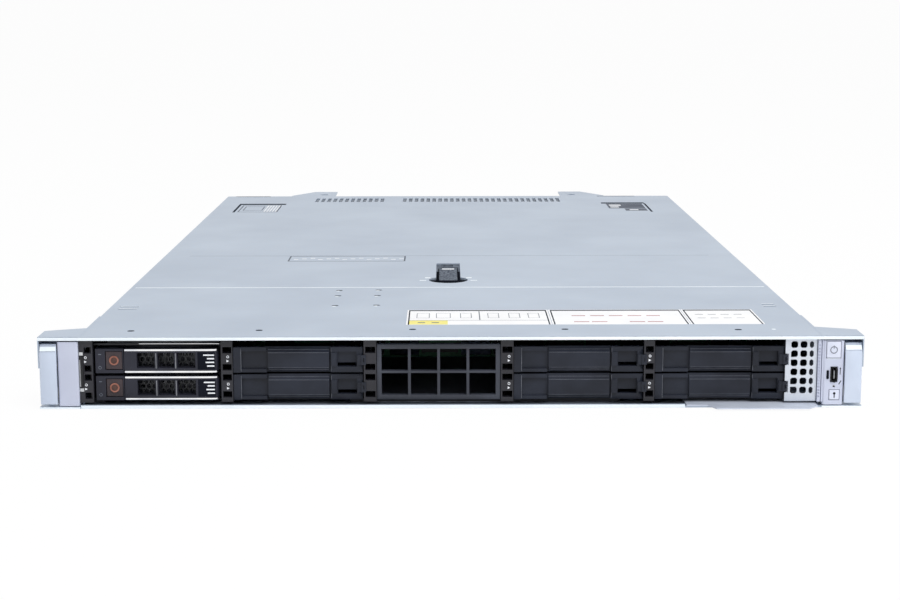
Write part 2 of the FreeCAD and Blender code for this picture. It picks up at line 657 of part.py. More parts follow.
def blank(name, left, level):
    """A moulded drive blank: end post, recess, bevelled block, latch pocket, and two arms behind."""
    top, face = f"{level} + blank_tall", "bay_face"
    back = f"{face} + 2.6"
    plate = box(f"{name}_plate", (left, f"{left} + blank_wide"), (back, f"{face} + 4"), (level, top))
    post = box(f"{name}_post", (left, f"{left} + 4.4"), (face, back), (level, top))
    rails = [box(f"{name}_rail_{i}", (f"{left} + 4.4", f"{left} + 19.6"), (f"{face} + 0.6", back), zs)
             for i, zs in enumerate(((level, f"{level} + 2"), (f"{top} - 2.4", top)))]
    block = prism(f"{name}_block", "YZ", [(back, "0.2"), (face, "3"), (face, "11.8"),
                                          (back, "blank_tall - 0.2")], "0", "35.9")
    place(block, f"{left} + 20.4", "0", level)
    head = box(f"{name}_head", (f"{left} + 57.3", f"{left} + blank_wide"), (f"{face} + 0.6", back),
               (level, top))
    grip = box(f"{name}_grip", (f"{left} + 57.5", f"{left} + 60.7"), (f"{face} - 0.3", f"{face} + 0.6"),
               (f"{level} + 3.6", f"{level} + 11.9"))
    arms = [box(f"{name}_arm_{i}", (f"{left} + {start}", f"{left} + {start} + 1.2"),
                (f"{face} + 4", "blank_deep"), (f"{level} + 1.4", f"{level} + 13.6"))
            for i, start in enumerate((1, 73.8))]
    base = box(f"{name}_base", (f"{left} + 1", f"{left} + 75"), (f"{face} + 4", "blank_deep"),
               (f"{level} + 1.4", f"{level} + 2.4"))
    pocket_ = box(f"{name}_pocket", (f"{left} + 61.2", f"{left} + 72.4"), (f"{face} - 1", f"{face} + 5"),
                  (f"{level} + 3.4", f"{level} + 12.4"))
    floor = box(f"{name}_floor", (f"{left} + 61", f"{left} + 72.6"), (f"{face} + 3.2", f"{face} + 4"),
                (f"{level} + 5.4", f"{level} + 12.6"))
    bridge = box(f"{name}_bridge", (f"{left} + 72.8", f"{left} + 75.8"), (f"{face} - 0.8", f"{face} + 1"),
                 (f"{level} + 4.6", f"{level} + 10.6"))
    tab = cut(f"{name}_tab", box(f"{name}_tab_plate", (f"{left} + 75", f"{left} + 80.4"),
              (f"{face} - 1.4", f"{face} - 0.7"), (f"{level} + 4.6", f"{level} + 10.6")),
              [box(f"{name}_tab_slot", (f"{left} + 77", f"{left} + 78.2"), (f"{face} - 2", face),
                   (f"{level} + 6.4", f"{level} + 8.8"))])
    whole = join(f"{name}_whole", [plate, post, block, head, grip, base] + rails + arms)
    shell = cut(f"{name}_shell", whole, [pocket_])
    keep(join(f"{name}_done", [shell, floor, join(f"{name}_latch", [bridge, tab])]), name)


def centre_blank():
    """The open grid that fills the two middle bays: two rows of four cells, and side arms."""
    left, right = "(post_right_c + 0.2)", "(post_left_d - 0.2)"
    low, high = "(low_row + 0.1)", "(low_row + row_pitch + blank_tall + 1.8)"
    cell = f"({right} - {left} - 2 * 2.8 - 3 * 1.7) / 4"
    grid = body("grid")
    face = sketch(grid, "XZ", "bay_face")
    frame(face, (left, right), (low, high))
    pad(grid, face, "4")
    cells = sketch(grid, "XZ", "bay_face")
    middle = f"({low} + {high}) / 2"
    frame(cells, (f"{left} + 2.8", f"{left} + 2.8 + {cell}"), (f"{low} + 2.8", f"{middle} - 0.7"))
    frame(cells, (f"{left} + 2.8", f"{left} + 2.8 + {cell}"), (f"{middle} + 0.7", f"{high} - 2.8"))
    row(grid, pocket(grid, cells, "4"), "X", f"{cell} + 1.7", 4)
    arms = [box(f"grid_arm_{i}", (start, f"{start} + 1.2"), ("bay_face + 4", "blank_deep"),
                (f"{low} + 3", f"{high} - 3")) for i, start in enumerate((left, f"{right} - 1.2"))]
    keep(join("grid_done", [grid] + arms), "centre_blank")


def front_vent_panel():
    """The perforated panel at the right of the bays, with a flange turned back at each edge."""
    panel = body("vent")
    face = sketch(panel, "XZ", "bay_face - 1.4")
    frame(face, ("vent_left", "vent_right"), ("cage_floor + 0.9", "hem_low - 0.2"))
    pad(panel, face, "0.8")
    flanges = sketch(panel, "XZ", "bay_face - 0.6")
    frame(flanges, ("197", "197.8"), ("cage_floor + 0.9", "cage_top"))
    frame(flanges, ("vent_right - 0.8", "vent_right"), ("cage_floor + 0.9", "hem_low - 0.2"))
    pad(panel, flanges, "14")
    holes = sketch(panel, "XZ", "bay_face - 1.4")
    for column, wide in enumerate(("vent_hole", "vent_hole", "vent_hole * 0.6")):
        start = f"vent_left + 3.2 + {column} * vent_pitch"
        eased(holes, (start, f"{start} + {wide}"), ("7.8", "7.8 + vent_hole"), "0.9")
    notches = sketch(panel, "XZ", "bay_face - 1.4")
    for level in ROWS.values():
        frame(notches, ("vent_left - 1", "post_right_e + 0.2 + 81"), (f"{level} + 4.2", f"{level} + 11.2"))
    pocket(panel, notches, "0.8")
    row(panel, pocket(panel, holes, "0.8"), "Z", "vent_pitch", 6)
    keep(panel, "front_vent_panel")


# ---------------------------------------------------------------- rack ears and controls

def ear_bracket(side):
    """A rack ear: roof, hem, foot, outer cheek, slotted flange, mounting cheek and lever pin."""
    sign = SIDES[side]
    inner, outer = "(body_wide / 2 + 0.1)", "(ear_span / 2)"
    roof = prism(f"{side}_roof", "XY", [
        (f"{sign} * {inner}", "0"), (f"{sign} * {outer}", "0"), (f"{sign} * {outer}", "flange_back - 2.5"),
        (f"{sign} * ({outer} - 6)", "flange_back"), (f"{sign} * {inner}", "flange_back + 6.5")],
        "tall - 1.4", "1.4")
    flange = body(f"{side}_flange")
    plate = sketch(flange, "XZ", "flange_back - 1.6")
    xs = across(side, inner, outer)
    frame(plate, xs, ("1.2", "tall - 1.4"))
    circle(plate, f"{sign} * rack_hole", "screw_z", "rack_hole_r")
    frame(plate, across(side, "lever_in + 3.4", "lever_in + 6.8"), ("2", "15.2"))
    pad(flange, plate, "1.6")
    ys = ("flange_back - 1.6", "flange_back + 46")
    pin_x = across(side, "lever_in + 0.2", f"{outer} - 0.6")
    pieces = [
        roof, flange,
        box(f"{side}_hem", xs, ("0", "1"), ("hem_low", "tall - 1.4")),
        box(f"{side}_foot", xs, ("0", "flange_back"), ("0", "1.2")),
        box(f"{side}_outer", across(side, f"{outer} - 0.7", outer), ("-0.6", "flange_back - 1.6"),
            ("24.4", "tall - 1.4")),
        box(f"{side}_cheek", across(side, "body_wide / 2", "body_wide / 2 + 1.2"), ys, ("3", "39")),
        rod(f"{side}_lever_pin", (pin_x[0], "lever_pin_y", "lever_pin_z"), "1.5",
            f"({pin_x[1]}) - ({pin_x[0]})", SIDEWAYS),
    ]
    keep(join(f"{side}_ear", pieces), f"{side}_ear_bracket")


def latch_lever(side):
    """A slam latch lever: bent front plate, barrel on the ear's pin, and a hook through the flange."""
    width = across(side, "lever_in", "ear_span / 2 - 0.9")
    plate = prism(f"{side}_lever_plate", "YZ", [
        ("-1.2", "lever_low"), ("-1.2", "lever_bend"), ("1.8", "lever_top"), ("4.2", "lever_top"),
        ("1.2", "lever_bend - 0.6"), ("1.2", "lever_low")], width[0], f"({width[1]}) - ({width[0]})")
    barrel_x = across(side, "lever_in + 0.7", "lever_in + 8.6")
    length = f"({barrel_x[1]}) - ({barrel_x[0]})"
    hook_x = across(side, "lever_in + 3.8", "lever_in + 6.4")
    pieces = [
        plate,
        box(f"{side}_barrel", barrel_x, ("lever_pin_y - 2.7", "lever_pin_y + 2.5"),
            ("lever_pin_z - 2.7", "lever_pin_z + 2.5")),
        box(f"{side}_web", barrel_x, ("0.6", "lever_pin_y"), ("lever_pin_z - 2.7", "lever_pin_z - 0.6")),
        box(f"{side}_hook_arm", hook_x, ("1.2", "flange_back + 3.5"), ("9", "13")),
        box(f"{side}_hook_nib", hook_x, ("flange_back + 1", "flange_back + 3.5"), ("13", "15")),
    ]
    bore = rod(f"{side}_lever_bore", (f"({barrel_x[0]}) - 1", "lever_pin_y", "lever_pin_z"), "1.56",
               f"{length} + 2", SIDEWAYS)
    keep(cut(f"{side}_lever", join(f"{side}_lever_whole", pieces), [bore]), f"{side}_latch_lever")


def panel_block(side):
    """The housing of a control panel, with softened front edges."""
    block = box(f"{side}_block", across(side, "panel_in", "panel_out"), ("0", "flange_back - 1.6"),
                ("panel_low", "panel_top"))
    return rounded(f"{side}_block_soft", block, (1, 5), "1.2")


def light_column():
    """The dark column beside the left panel: seats for three light pipes, and a post's four holes."""
    column = box("column", ("-217.6", "-209.6"), ("2", "5.8"), ("cage_floor + 0.9", "hem_low - 0.4"))
    seats = [box(f"column_seat_{i}", ("-217.5", "-215.1"), ("1", "4"), zs)
             for i, zs in enumerate((("12.8", "29"), ("31.5", "33.5"), ("9.9", "12")))]
    holes = [box(f"column_hole_{name}_{step}", ("-214.6", "-210.4"), ("1", "7"),
                 (f"{level} + {height}", f"{level} + {height} + post_hole"))
             for name, level in ROWS.items() for step, height in enumerate(("1.3", "12.2"))]
    keep(cut("column_open", column, seats + holes), "left_light_column")


def right_control_panel():
    """The right control panel: wells for two buttons, a port and two lights, and a grooved strip."""
    wells = [
        box("power_well", ("219.1", "228"), ("-1", "6"), ("29.3", "39.5")),
        box("id_well", ("221.3", "227.8"), ("-1", "6"), ("4.3", "10.7")),
        box("port_well", ("221.9", "226.3"), ("-1", "10"), ("15", "24.4")),
        box("light_well", ("219.7", "221.1"), ("-1", "5"), ("17", "22.2")),
        box("dot_well", ("223.5", "224.9"), ("-1", "5"), ("12", "13.4")),
        box("long_groove", ("216.4", "217"), ("-1", "2"), ("cage_floor", "hem_low")),
    ]
    strip = box("right_strip", ("214.7", "panel_in + 0.2"), ("0.6", "5.8"), ("cage_floor + 0.9", "hem_low - 0.4"))
    grooves = [box(f"groove_{i}", ("214.6", "215.9"), ("-1", "1.2"), (f"6 + {i} * 1.9", f"7 + {i} * 1.9"))
               for i in range(17)]
    whole = join("right_housing", [panel_block("right"), strip])
    keep(cut("right_panel", whole, wells + grooves), "right_control_panel")


def front_button(name, xs, zs):
    """A push button in the right control panel, with softened front edges."""
    block = box(f"{name}_block", xs, ("-0.4", "4.6"), zs)
    keep(rounded(f"{name}_soft", block, (1, 5, 9, 10), "0.5"), name)


def usb_c_port():
    """The upright service port: a rounded shell with a tongue in it."""
    shell = rounded("port_soft", box("port_shell", ("222.3", "225.9"), ("0.3", "9.8"), ("15.3", "24.1")),
                    (2, 4, 6, 8), "1.6")
    inside = rounded("port_inside_soft", box("port_inside", ("222.7", "225.5"), ("-1", "7.8"), ("15.7", "23.7")),
                     (2, 4, 6, 8), "1.2")
    tongue = box("port_tongue", ("223.8", "224.4"), ("1.6", "8"), ("16.9", "22.5"))
    keep(join("port", [cut("port_open", shell, [inside]), tongue]), "usb_c_port")


def light_pipes():
    """The clear light pipes of both control panels, one piece in each slot."""
    pipes = [box(f"pipe_{i}", ("-217.4", "-215.2"), ("1.6", "4"), zs)
             for i, zs in enumerate((("12.9", "28.9"), ("31.6", "33.4"), ("10", "11.9")))]
    pipes.append(box("pipe_status", ("219.8", "221"), ("0.1", "5"), ("17.1", "22.1")))
    pipes.append(box("pipe_dot", ("223.6", "224.8"), ("0.1", "5"), ("12.1", "13.3")))
    keep(group("pipes", pipes), "light_pipes")


def information_tag():
    """The pull-out information tag: a thin plate whose right part stands out as a grip."""
    keep(prism("tag", "XY", [
        ("tag_left", "-1"), ("tag_step - 2", "-1"), ("tag_step + 2", "-tag_out"),
        ("tag_right - 6", "-tag_out"), ("tag_right", "-tag_out + 6"), ("tag_right", "tag_back"),
        ("tag_left", "tag_back")], "tag_low", "tag_thick"), "information_tag")


# ---------------------------------------------------------------- cooling

FANS = [f"{sign} * (fan_first + {step} * fan_pitch)" for sign in (-1, 1) for step in range(3)]


def fan_wall():
    """The wall behind the fans: two sheets with the fans' openings, and a low strap under the cover latch."""
    notch = "(recess_r + 6)"
    ys = ("fan_front + fan_deep", "fan_front + fan_deep + 1.2")
    ends = {"left": ("-214", f"latch_x - {notch}"), "right": (f"latch_x + {notch}", "214")}
    sheets = [box("fan_strap", (ends["left"][1], ends["right"][0]), ys, ("sheet_thick", "35"))]
    for side, xs in ends.items():
        windows = [facets(f"fan_window_{side}_{i}", (centre, "fan_front + fan_deep - 1", "fan_mid"), 8,
                          "bore_r + 0.8", "4", FLAT_SIDED)
                   for i, centre in enumerate(FANS) if number(centre) * SIDES[side] > 0]
        sheet_box = box(f"fan_sheet_{side}", xs, ys, ("sheet_thick", "fan_mid + 20"))
        sheets.append(cut(f"fan_sheet_{side}_open", sheet_box, windows))
    keep(group("fan_sheets", sheets), "fan_wall")


def fan_housing(index, centre):
    """One fan's square frame: round duct, four struts and a hub with the shaft's bore."""
    name = f"fan_{index}"
    half = "fan_side / 2"
    back = "(fan_front + fan_deep)"
    case = box(f"{name}_case", (f"{centre} - {half}", f"{centre} + {half}"), ("fan_front", back),
               (f"fan_mid - {half}", f"fan_mid + {half}"))
    duct = facets(f"{name}_duct", (centre, "fan_front - 1", "fan_mid"), 12, "bore_r", "fan_deep + 2", BACKWARD)
    reach = "(bore_r + 0.5)"
    struts = [
        facets(f"{name}_motor", (centre, f"{back} - 3", "fan_mid"), 8, "hub_r", "3", FLAT_SIDED),
        box(f"{name}_strut_flat", (f"{centre} - {reach}", f"{centre} + {reach}"), (f"{back} - 3", back),
            ("fan_mid - 0.8", "fan_mid + 0.8")),
        box(f"{name}_strut_tall", (f"{centre} - 0.8", f"{centre} + 0.8"), (f"{back} - 3", back),
            (f"fan_mid - {reach}", f"fan_mid + {reach}")),
    ]
    whole = join(f"{name}_whole", [cut(f"{name}_open", case, [duct])] + struts)
    bore = facets(f"{name}_bore", (centre, f"{back} - 4", "fan_mid"), 8, "shaft_r + 0.2", "5", BACKWARD)
    return cut(f"{name}_housing", whole, [bore])


def blade_section(radius, half_chord, twist):
    """A thin four-sided section across a blade, at a radius, turned by its twist in degrees."""
    turn = math.radians(twist)
    half_thick = 0.45
    corners = []
    for along, over in ((-1, -1), (1, -1), (1, 1), (-1, 1)):
        chord, thick = along * half_chord, over * half_thick
        corners.append(Vector(radius, chord * math.sin(turn) + thick * math.cos(turn),
                              chord * math.cos(turn) - thick * math.sin(turn)))
    return corners


def blade_solid(root, tip):
    """A twisted blade between two four-cornered sections, each of its sides two flat triangles."""
    faces = [root, tip]
    for i in range(4):
        faces += [[root[i - 1], root[i], tip[i]], [root[i - 1], tip[i], tip[i - 1]]]
    return Part.Solid(Part.Shell([Part.Face(Part.makePolygon(face + face[:1])) for face in faces]))


def rotor_shape():
    """Hub, shaft and seven twisted blades about the Z axis.

    The hub has two flat sides for each blade, which keeps its facets few.
    """
    hub_r, blade_r = number("hub_r"), number("blade_r")
    blades, half_hub = 7, 10
    turns = [math.pi * i / blades for i in range(2 * blades)]
    corners = [Vector(hub_r * math.cos(turn), hub_r * math.sin(turn), -half_hub) for turn in turns]
    hub = Part.Face(Part.makePolygon(corners + corners[:1])).extrude(Vector(0, 0, 2 * half_hub))
    shaft = Part.makeCylinder(number("shaft_r"), 4, Vector(0, 0, half_hub))
    blade = blade_solid(blade_section(hub_r - 1.2, 6.4, 32), blade_section(blade_r - 1, 6.6, 50))
    ring = [blade.rotated(Vector(0, 0, 0), Vector(0, 0, 1), 360 * (i + 0.25) / blades)
            for i in range(blades)]
    return hub.fuse([shaft] + ring).removeSplitter()


def fan_rotors():
    """One rotor in each fan, its shaft in the hub's bore."""
    shape = rotor_shape()
    for index, centre in enumerate(FANS, start=1):
        rotor = doc.addObject("Part::Feature", f"rotor_{index}")
        rotor.Shape = shape
        place(rotor, centre, "fan_front + fan_deep - 15", "fan_mid", BACKWARD)
        keep(rotor, f"fan_rotor_{index}")


# ---------------------------------------------------------------- boards

BOARD_TOP = "(board_low + board_thick)"


def system_board():
    """The system board: wide at the front, narrow between the power supplies."""
    wide, narrow = "212", "150"
    keep(prism("board", "XY", [
        (f"-{wide}", "board_front"), (wide, "board_front"), (wide, "psu_front - 8"),
        (narrow, "psu_front - 8"), (narrow, "body_end - 8"), (f"-{narrow}", "body_end - 8"),
        (f"-{narrow}", "psu_front - 8"), (f"-{wide}", "psu_front - 8")], "board_low", "board_thick"),
        "system_board")


def processor_sockets():
    """Two sockets with their load frames."""
    sockets = []
    for side in SIDES:
        sign = SIDES[side]
        centre = f"{sign} * cpu_x"
        base = box(f"{side}_socket", (f"{centre} - 31", f"{centre} + 31"), ("cpu_y - 42", "cpu_y + 42"),
                   (BOARD_TOP, f"{BOARD_TOP} + 4"))
        lid = box(f"{side}_lid", (f"{centre} - 24", f"{centre} + 24"), ("cpu_y - 34", "cpu_y + 34"),
                  (f"{BOARD_TOP} + 4", f"{BOARD_TOP} + 5.4"))
        sockets.append(join(f"{side}_processor", [base, lid]))
    keep(group("sockets", sockets), "processor_sockets")


def heat_sink(side):
    """A finned heat sink: base plate, and fins raised from it in a row."""
    centre = f"{SIDES[side]} * cpu_x"
    left = f"{centre} - sink_wide / 2"
    sink = body(f"{side}_sink")
    base = sketch(sink, "XZ", "cpu_y - sink_long / 2")
    frame(base, (left, f"{left} + sink_wide"), ("12", "16"))
    pad(sink, base, "sink_long")
    fin = sketch(sink, "XZ", "cpu_y - sink_long / 2")
    frame(fin, (left, f"{left} + 0.8"), ("16", "38"))
    first = pad(sink, fin, "sink_long")
    row(sink, first, "X", "(sink_wide - 0.8) / 13", 14)
    return sink


def memory(kind):
    """Sixteen memory modules or their sockets, four on each side of each processor."""
    pieces = []
    for side in SIDES:
        for bank, start in (("inner", "28"), ("outer", "148")):
            for i in range(4):
                sign = SIDES[side]
                centre = f"{sign} * ({start} + {i} * dimm_pitch)"
                name = f"{side}_{bank}_{kind}_{i}"
                if kind == "socket":
                    body_ = box(f"{name}_body", (f"{centre} - 3", f"{centre} + 3"), ("cpu_y - 71", "cpu_y + 71"),
                                (BOARD_TOP, f"{BOARD_TOP} + 6"))
                    slot = box(f"{name}_slot", (f"{centre} - 0.7", f"{centre} + 0.7"),
                               ("cpu_y - 67", "cpu_y + 67"), (f"{BOARD_TOP} + 1", f"{BOARD_TOP} + 7"))
                    pieces.append(cut(name, body_, [slot]))
                else:
                    low = f"{BOARD_TOP} + 1"
                    board = box(f"{name}_board", (f"{centre} - 0.65", f"{centre} + 0.65"),
                                ("cpu_y - dimm_long / 2", "cpu_y + dimm_long / 2"), (low, f"{low} + dimm_tall"))
                    chips = box(f"{name}_chips", (f"{centre} - 1.7", f"{centre} + 1.7"), ("cpu_y - 60", "cpu_y + 60"),
                                (f"{low} + 12", f"{low} + 24"))
                    pieces.append(join(name, [board, chips]))
    return group(f"memory_{kind}s_all", pieces)


def air_shroud():
    """The moulded shroud over processors and memory, notched in front for the cover latch."""
    roof = prism("shroud_roof", "XY", [
        ("-206", "fan_front + fan_deep + 8"), ("latch_x - 22", "fan_front + fan_deep + 8"),
        ("latch_x - 22", "latch_pin_y + 42"), ("latch_x + 22", "latch_pin_y + 42"),
        ("latch_x + 22", "fan_front + fan_deep + 8"), ("206", "fan_front + fan_deep + 8"),
        ("206", "cpu_y + 84"), ("-206", "cpu_y + 84")], "39.6", "1.2")
    walls = [box(f"shroud_wall_{side}_{i}", across(side, start, f"{start} + 1.2"),
                 ("latch_pin_y + 30", "cpu_y + 84"), (BOARD_TOP, "39.6"))
             for side in SIDES for i, start in enumerate(("56", "184"))]
    keep(join("shroud", [roof] + walls), "air_shroud")


def riser_card():
    """The riser: an upright board with a lying card slot on it."""
    board = box("riser_board", ("25", "26.6"), ("600", "700"), (BOARD_TOP, "37"))
    slot = box("riser_slot", ("26.6", "36"), ("610", "690"), ("18", "26"))
    groove = box("riser_groove", ("30", "37"), ("614", "686"), ("21", "23"))
    keep(join("riser", [board, cut("riser_socket", slot, [groove])]), "riser_card")


def network_card():
    """The network card: board, face plate, and two hollow cages for plug-in modules."""
    board = box("net_board", ("-146.4", "-71.6"), ("606", "body_end - 2"), ("10", "11.6"))
    plate = box("net_plate", ("-146.6", "-71.4"), ("body_end - 1.2", "body_end + 0.4"), ("9.4", "30.6"))
    cages, mouths = [], []
    for i, left in enumerate(("-132", "-104")):
        cages.append(box(f"net_cage_{i}", (left, f"{left} + 15.4"), ("body_end - 52", "body_end + 1.4"),
                         ("11.6", "22.6")))
        mouths.append(box(f"net_mouth_{i}", (f"{left} + 0.7", f"{left} + 14.7"),
                          ("body_end - 48", "body_end + 2"), ("12.3", "21.9")))
    shelf = box("net_shelf", ("-146.4", "-71.6"), ("body_end - 3", "body_end - 1.2"), ("10", "11.6"))
    keep(cut("net", join("net_whole", [board, plate, shelf] + cages), mouths), "network_card")


def rear_ports():
    """The rear sockets: a network jack, a double data socket and a display socket."""
    back = "body_end + 0.4"
    jack = cut("jack", box("jack_shell", ("-59.6", "-44.4"), ("body_end - 20", back), (BOARD_TOP, "22.6")),
               [box("jack_mouth", ("-58.4", "-45.6"), ("body_end - 14", "body_end + 2"), ("9.4", "19.4"))])
    data = cut("data", box("data_shell", ("-36", "-21.4"), ("body_end - 18", back), (BOARD_TOP, "22.4")),
               [box(f"data_mouth_{i}", ("-35.2", "-22.2"), ("body_end - 13", "body_end + 2"),
                    (f"{low}", f"{low} + 5")) for i, low in enumerate(("8.8", "15.8"))])
    tongues = [box(f"data_tongue_{i}", ("-34", "-23.4"), ("body_end - 14", "body_end - 2"),
                   (f"{low} + 2.6", f"{low} + 4.4")) for i, low in enumerate(("8.8", "15.8"))]
    display = join("display", [
        box("display_body", ("-11", "18"), ("body_end - 14", "body_end - 1.2"), (BOARD_TOP, "19.6")),
        prism("display_shell", "XZ", [("-5", "9.6"), ("12", "9.6"), ("13.6", "17"), ("-6.6", "17")],
              "body_end - 1.4", "5"),
    ])
    keep(group("ports", [jack, join("data_socket", [data] + tongues), display]), "rear_ports")


def slot_fillers():
    """The vented plates that close the card slot and the module bay beside it."""
    fillers = []
    for i, (left, right, low, high) in enumerate((("29.3", "106.7", "12.3", "32.7"),
                                                  ("115.3", "145.7", "12.3", "35.7"))):
        filler = body(f"filler_{i}")
        plate = sketch(filler, "XZ", "body_end - 1.1")
        frame(plate, (left, right), (low, high))
        pad(filler, plate, "1")
        vents = sketch(filler, "XZ", "body_end - 1.1")
        frame(vents, (f"{left} + 4", f"{left} + 8.4"), (f"{low} + 4", f"{high} - 4"))
        count = (10, 3)[i]
        row(filler, pocket(filler, vents, "1"), "X", "7.4", count)
        fillers.append(filler)
    keep(group("fillers", fillers), "slot_fillers")


# ---------------------------------------------------------------- power supplies

def power_supply(name, left):
    """A power supply: case with an inlet, a fan grille and a latch pocket, and a handle loop."""
    low, back = "psu_low", "body_end"
    mid = f"{low} + psu_tall / 2"
    case = box(f"{name}_case", (left, f"{left} + psu_wide"), ("psu_front", back), (low, f"{low} + psu_tall"))
    inlet = box(f"{name}_inlet", (f"{left} + 8", f"{left} + 32"), (f"{back} - 16", f"{back} + 1"),
                (f"{mid} - 8", f"{mid} + 8"))
    duct = facets(f"{name}_duct", (f"{left} + 44", f"{back} - 6", mid), 16, "12.4", "8", BACKWARD)
    slot = box(f"{name}_slot", (f"{left} - 1", f"{left} + 7"), (f"{back} - 34", f"{back} + 1"),
               (f"{mid} - 6.5", f"{mid} + 6.5"))
    hollow = cut(f"{name}_hollow", case, [inlet, duct, slot])
    pins = [box(f"{name}_pin_{i}", (f"{left} + {8 + 5 + 6 * i}", f"{left} + {10 + 5 + 6 * i}"),
                (f"{back} - 17", f"{back} - 5"), (f"{mid} - 2", f"{mid} + 3")) for i in range(3)]
    bars = [box(f"{name}_bar_{i}", (f"{left} + {34 + 4 * i}", f"{left} + {35.2 + 4 * i}"),
                (f"{back} - 1.4", f"{back} - 0.2"), (f"{mid} - 12.2 + {0.5 * (2.5 - i) ** 2}",
                f"{mid} + 12.2 - {0.5 * (2.5 - i) ** 2}")) for i in range(6)]
    reach = "(psu_handle_end - body_end)"
    loop = prism(f"{name}_loop", "YZ", [
        ("-0.5", "5"), (f"{reach} - 8", "5"), (reach, "11"), (reach, "28"), (f"{reach} - 8", "34"),
        ("-0.5", "34"), ("-0.5", "30"), (f"{reach} - 10", "30"), (f"{reach} - 4", "26"),
        (f"{reach} - 4", "13"), (f"{reach} - 10", "9"), ("-0.5", "9")], "0", "3.4")
    place(loop, f"{left} + 32.2", back, low)
    pivot = rod(f"{name}_pivot", (f"{left} + 3.5", f"{back} - 30", f"{mid} - 7"), "0.8", "14")
    keep(join(f"{name}_done", [hollow, loop, pivot] + pins + bars), name)


def supply_latch(name, left):
    """A supply's release latch: a blade on an upright pin, with a thumb tab at its end."""
    mid, back = "psu_low + psu_tall / 2", "body_end"
    zs = (f"{mid} - 6", f"{mid} + 6")
    pieces = [
        box(f"{name}_barrel", (f"{left} + 1.9", f"{left} + 5.1"), (f"{back} - 31.6", f"{back} - 28.4"), zs),
        box(f"{name}_blade", (f"{left} + 2.9", f"{left} + 4.1"), (f"{back} - 30", f"{back} + 17"), zs),
        box(f"{name}_tab", (f"{left} + 2.9", f"{left} + 7"), (f"{back} + 15.8", f"{back} + 17"), zs),
        box(f"{name}_catch", (f"{left} + 0.4", f"{left} + 3"), (f"{back} - 18", f"{back} - 12"),
            (f"{mid} - 3", f"{mid} + 3")),
    ]
    bore = rod(f"{name}_bore", (f"{left} + 3.5", f"{back} - 30", f"{mid} - 7"), "0.86", "14")
    keep(cut(f"{name}_done", join(f"{name}_whole", pieces), [bore]), name)


def rail_studs():
    """The shouldered studs that hang the chassis in its slide rails, three on each side."""
    studs = []
    for side in SIDES:
        for i, station in enumerate(("118", "356", "606")):
            stem_x = across(side, "body_wide / 2", "body_wide / 2 + 2.2")
            head_x = across(side, "body_wide / 2 + 2.2", "body_wide / 2 + 3.4")
            stem = facets(f"{side}_stem_{i}", (stem_x[0], station, "screw_z"), 8, "2.4", "2.2", SIDEWAYS)
            head = facets(f"{side}_head_{i}", (head_x[0], station, "screw_z"), 8, "4", "1.2", SIDEWAYS)
            studs.append(join(f"{side}_stud_{i}", [stem, head]))
    keep(group("studs", studs), "rail_studs")


# ---------------------------------------------------------------- the whole server

def build():
    """Make every sub-part."""
    chassis_tray()
    rear_wall()
    front_top_panel()
    top_cover()
    cover_latch_housing()
    cover_latch()
    drive_cage()
    backplane()
    drive_connectors()
    for index, level in enumerate(ROWS.values(), start=1):
        carrier_frame(f"carrier_{index}", level)
        drive(f"drive_{index}", level)
        carrier_handle(f"carrier_{index}", level)
        carrier_button(f"carrier_{index}", level)
    for letter in ("b", "d", "e"):
        for row_name, level in ROWS.items():
            blank(f"drive_blank_{letter}_{row_name}", f"(post_right_{letter} + 0.2)", f"({level} + 0.1)")
    centre_blank()
    front_vent_panel()
    for side in SIDES:
        ear_bracket(side)
        latch_lever(side)
    keep(panel_block("left"), "left_control_panel")
    light_column()
    right_control_panel()
    front_button("power_button", ("219.4", "227.7"), ("29.6", "39.2"))
    front_button("id_button", ("221.6", "227.5"), ("4.6", "10.4"))
    usb_c_port()
    light_pipes()
    information_tag()
    fan_wall()
    housings = [fan_housing(index, centre) for index, centre in enumerate(FANS, start=1)]
    keep(group("fan_frames", housings), "fan_housings")
    fan_rotors()
    system_board()
    processor_sockets()
    keep(group("sinks", [heat_sink(side) for side in SIDES]), "heat_sinks")
    keep(memory("socket"), "memory_sockets")
    keep(memory("module"), "memory_modules")
    air_shroud()
    riser_card()
    network_card()
    rear_ports()
    slot_fillers()
    for index, left in enumerate(("(-psu_in - psu_wide)", "psu_in"), start=1):
        power_supply(f"power_supply_{index}", left)
        supply_latch(f"supply_latch_{index}", left)
    rail_studs()


def check():
    """Stop if any object failed, or any sub-part has no sound shape."""
    for item in doc.Objects:
        if "Invalid" in item.State or "Error" in item.State:
            raise RuntimeError(f"{item.Label} failed: {item.State}")
    for item in parts:
        if item.Shape.isNull() or not item.Shape.isValid() or not item.Shape.Solids:
            raise RuntimeError(f"{item.Label} has no sound shape")


def write():
    """Write each sub-part to its own STEP file."""
    os.makedirs("parts", exist_ok=True)
    for item in parts:
        item.Shape.exportStep(f"parts/{item.Label}.step")


fill_sheet()
build()
doc.recompute()
check()
write()
print(len(parts), "sub-parts,", sum(len(item.Shape.Solids) for item in parts), "solids")
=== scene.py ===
"""Dresses the one-unit rack server: finishes for every sheet, moulding and board, and the trim,
rings, labels and marks that the solids leave plain.

Lengths in this file are millimetres.  X runs to the right, Z up from the underside, and Y back
from the front faces of the rack ears, as on a dimensioned drawing of the server; placed() turns
such points into metres in the frame of the solids.
"""
import json
import math

import bmesh
import bpy
import numpy as np
from bpy.props import FloatProperty, PointerProperty, StringProperty
from mathutils import Matrix, Vector

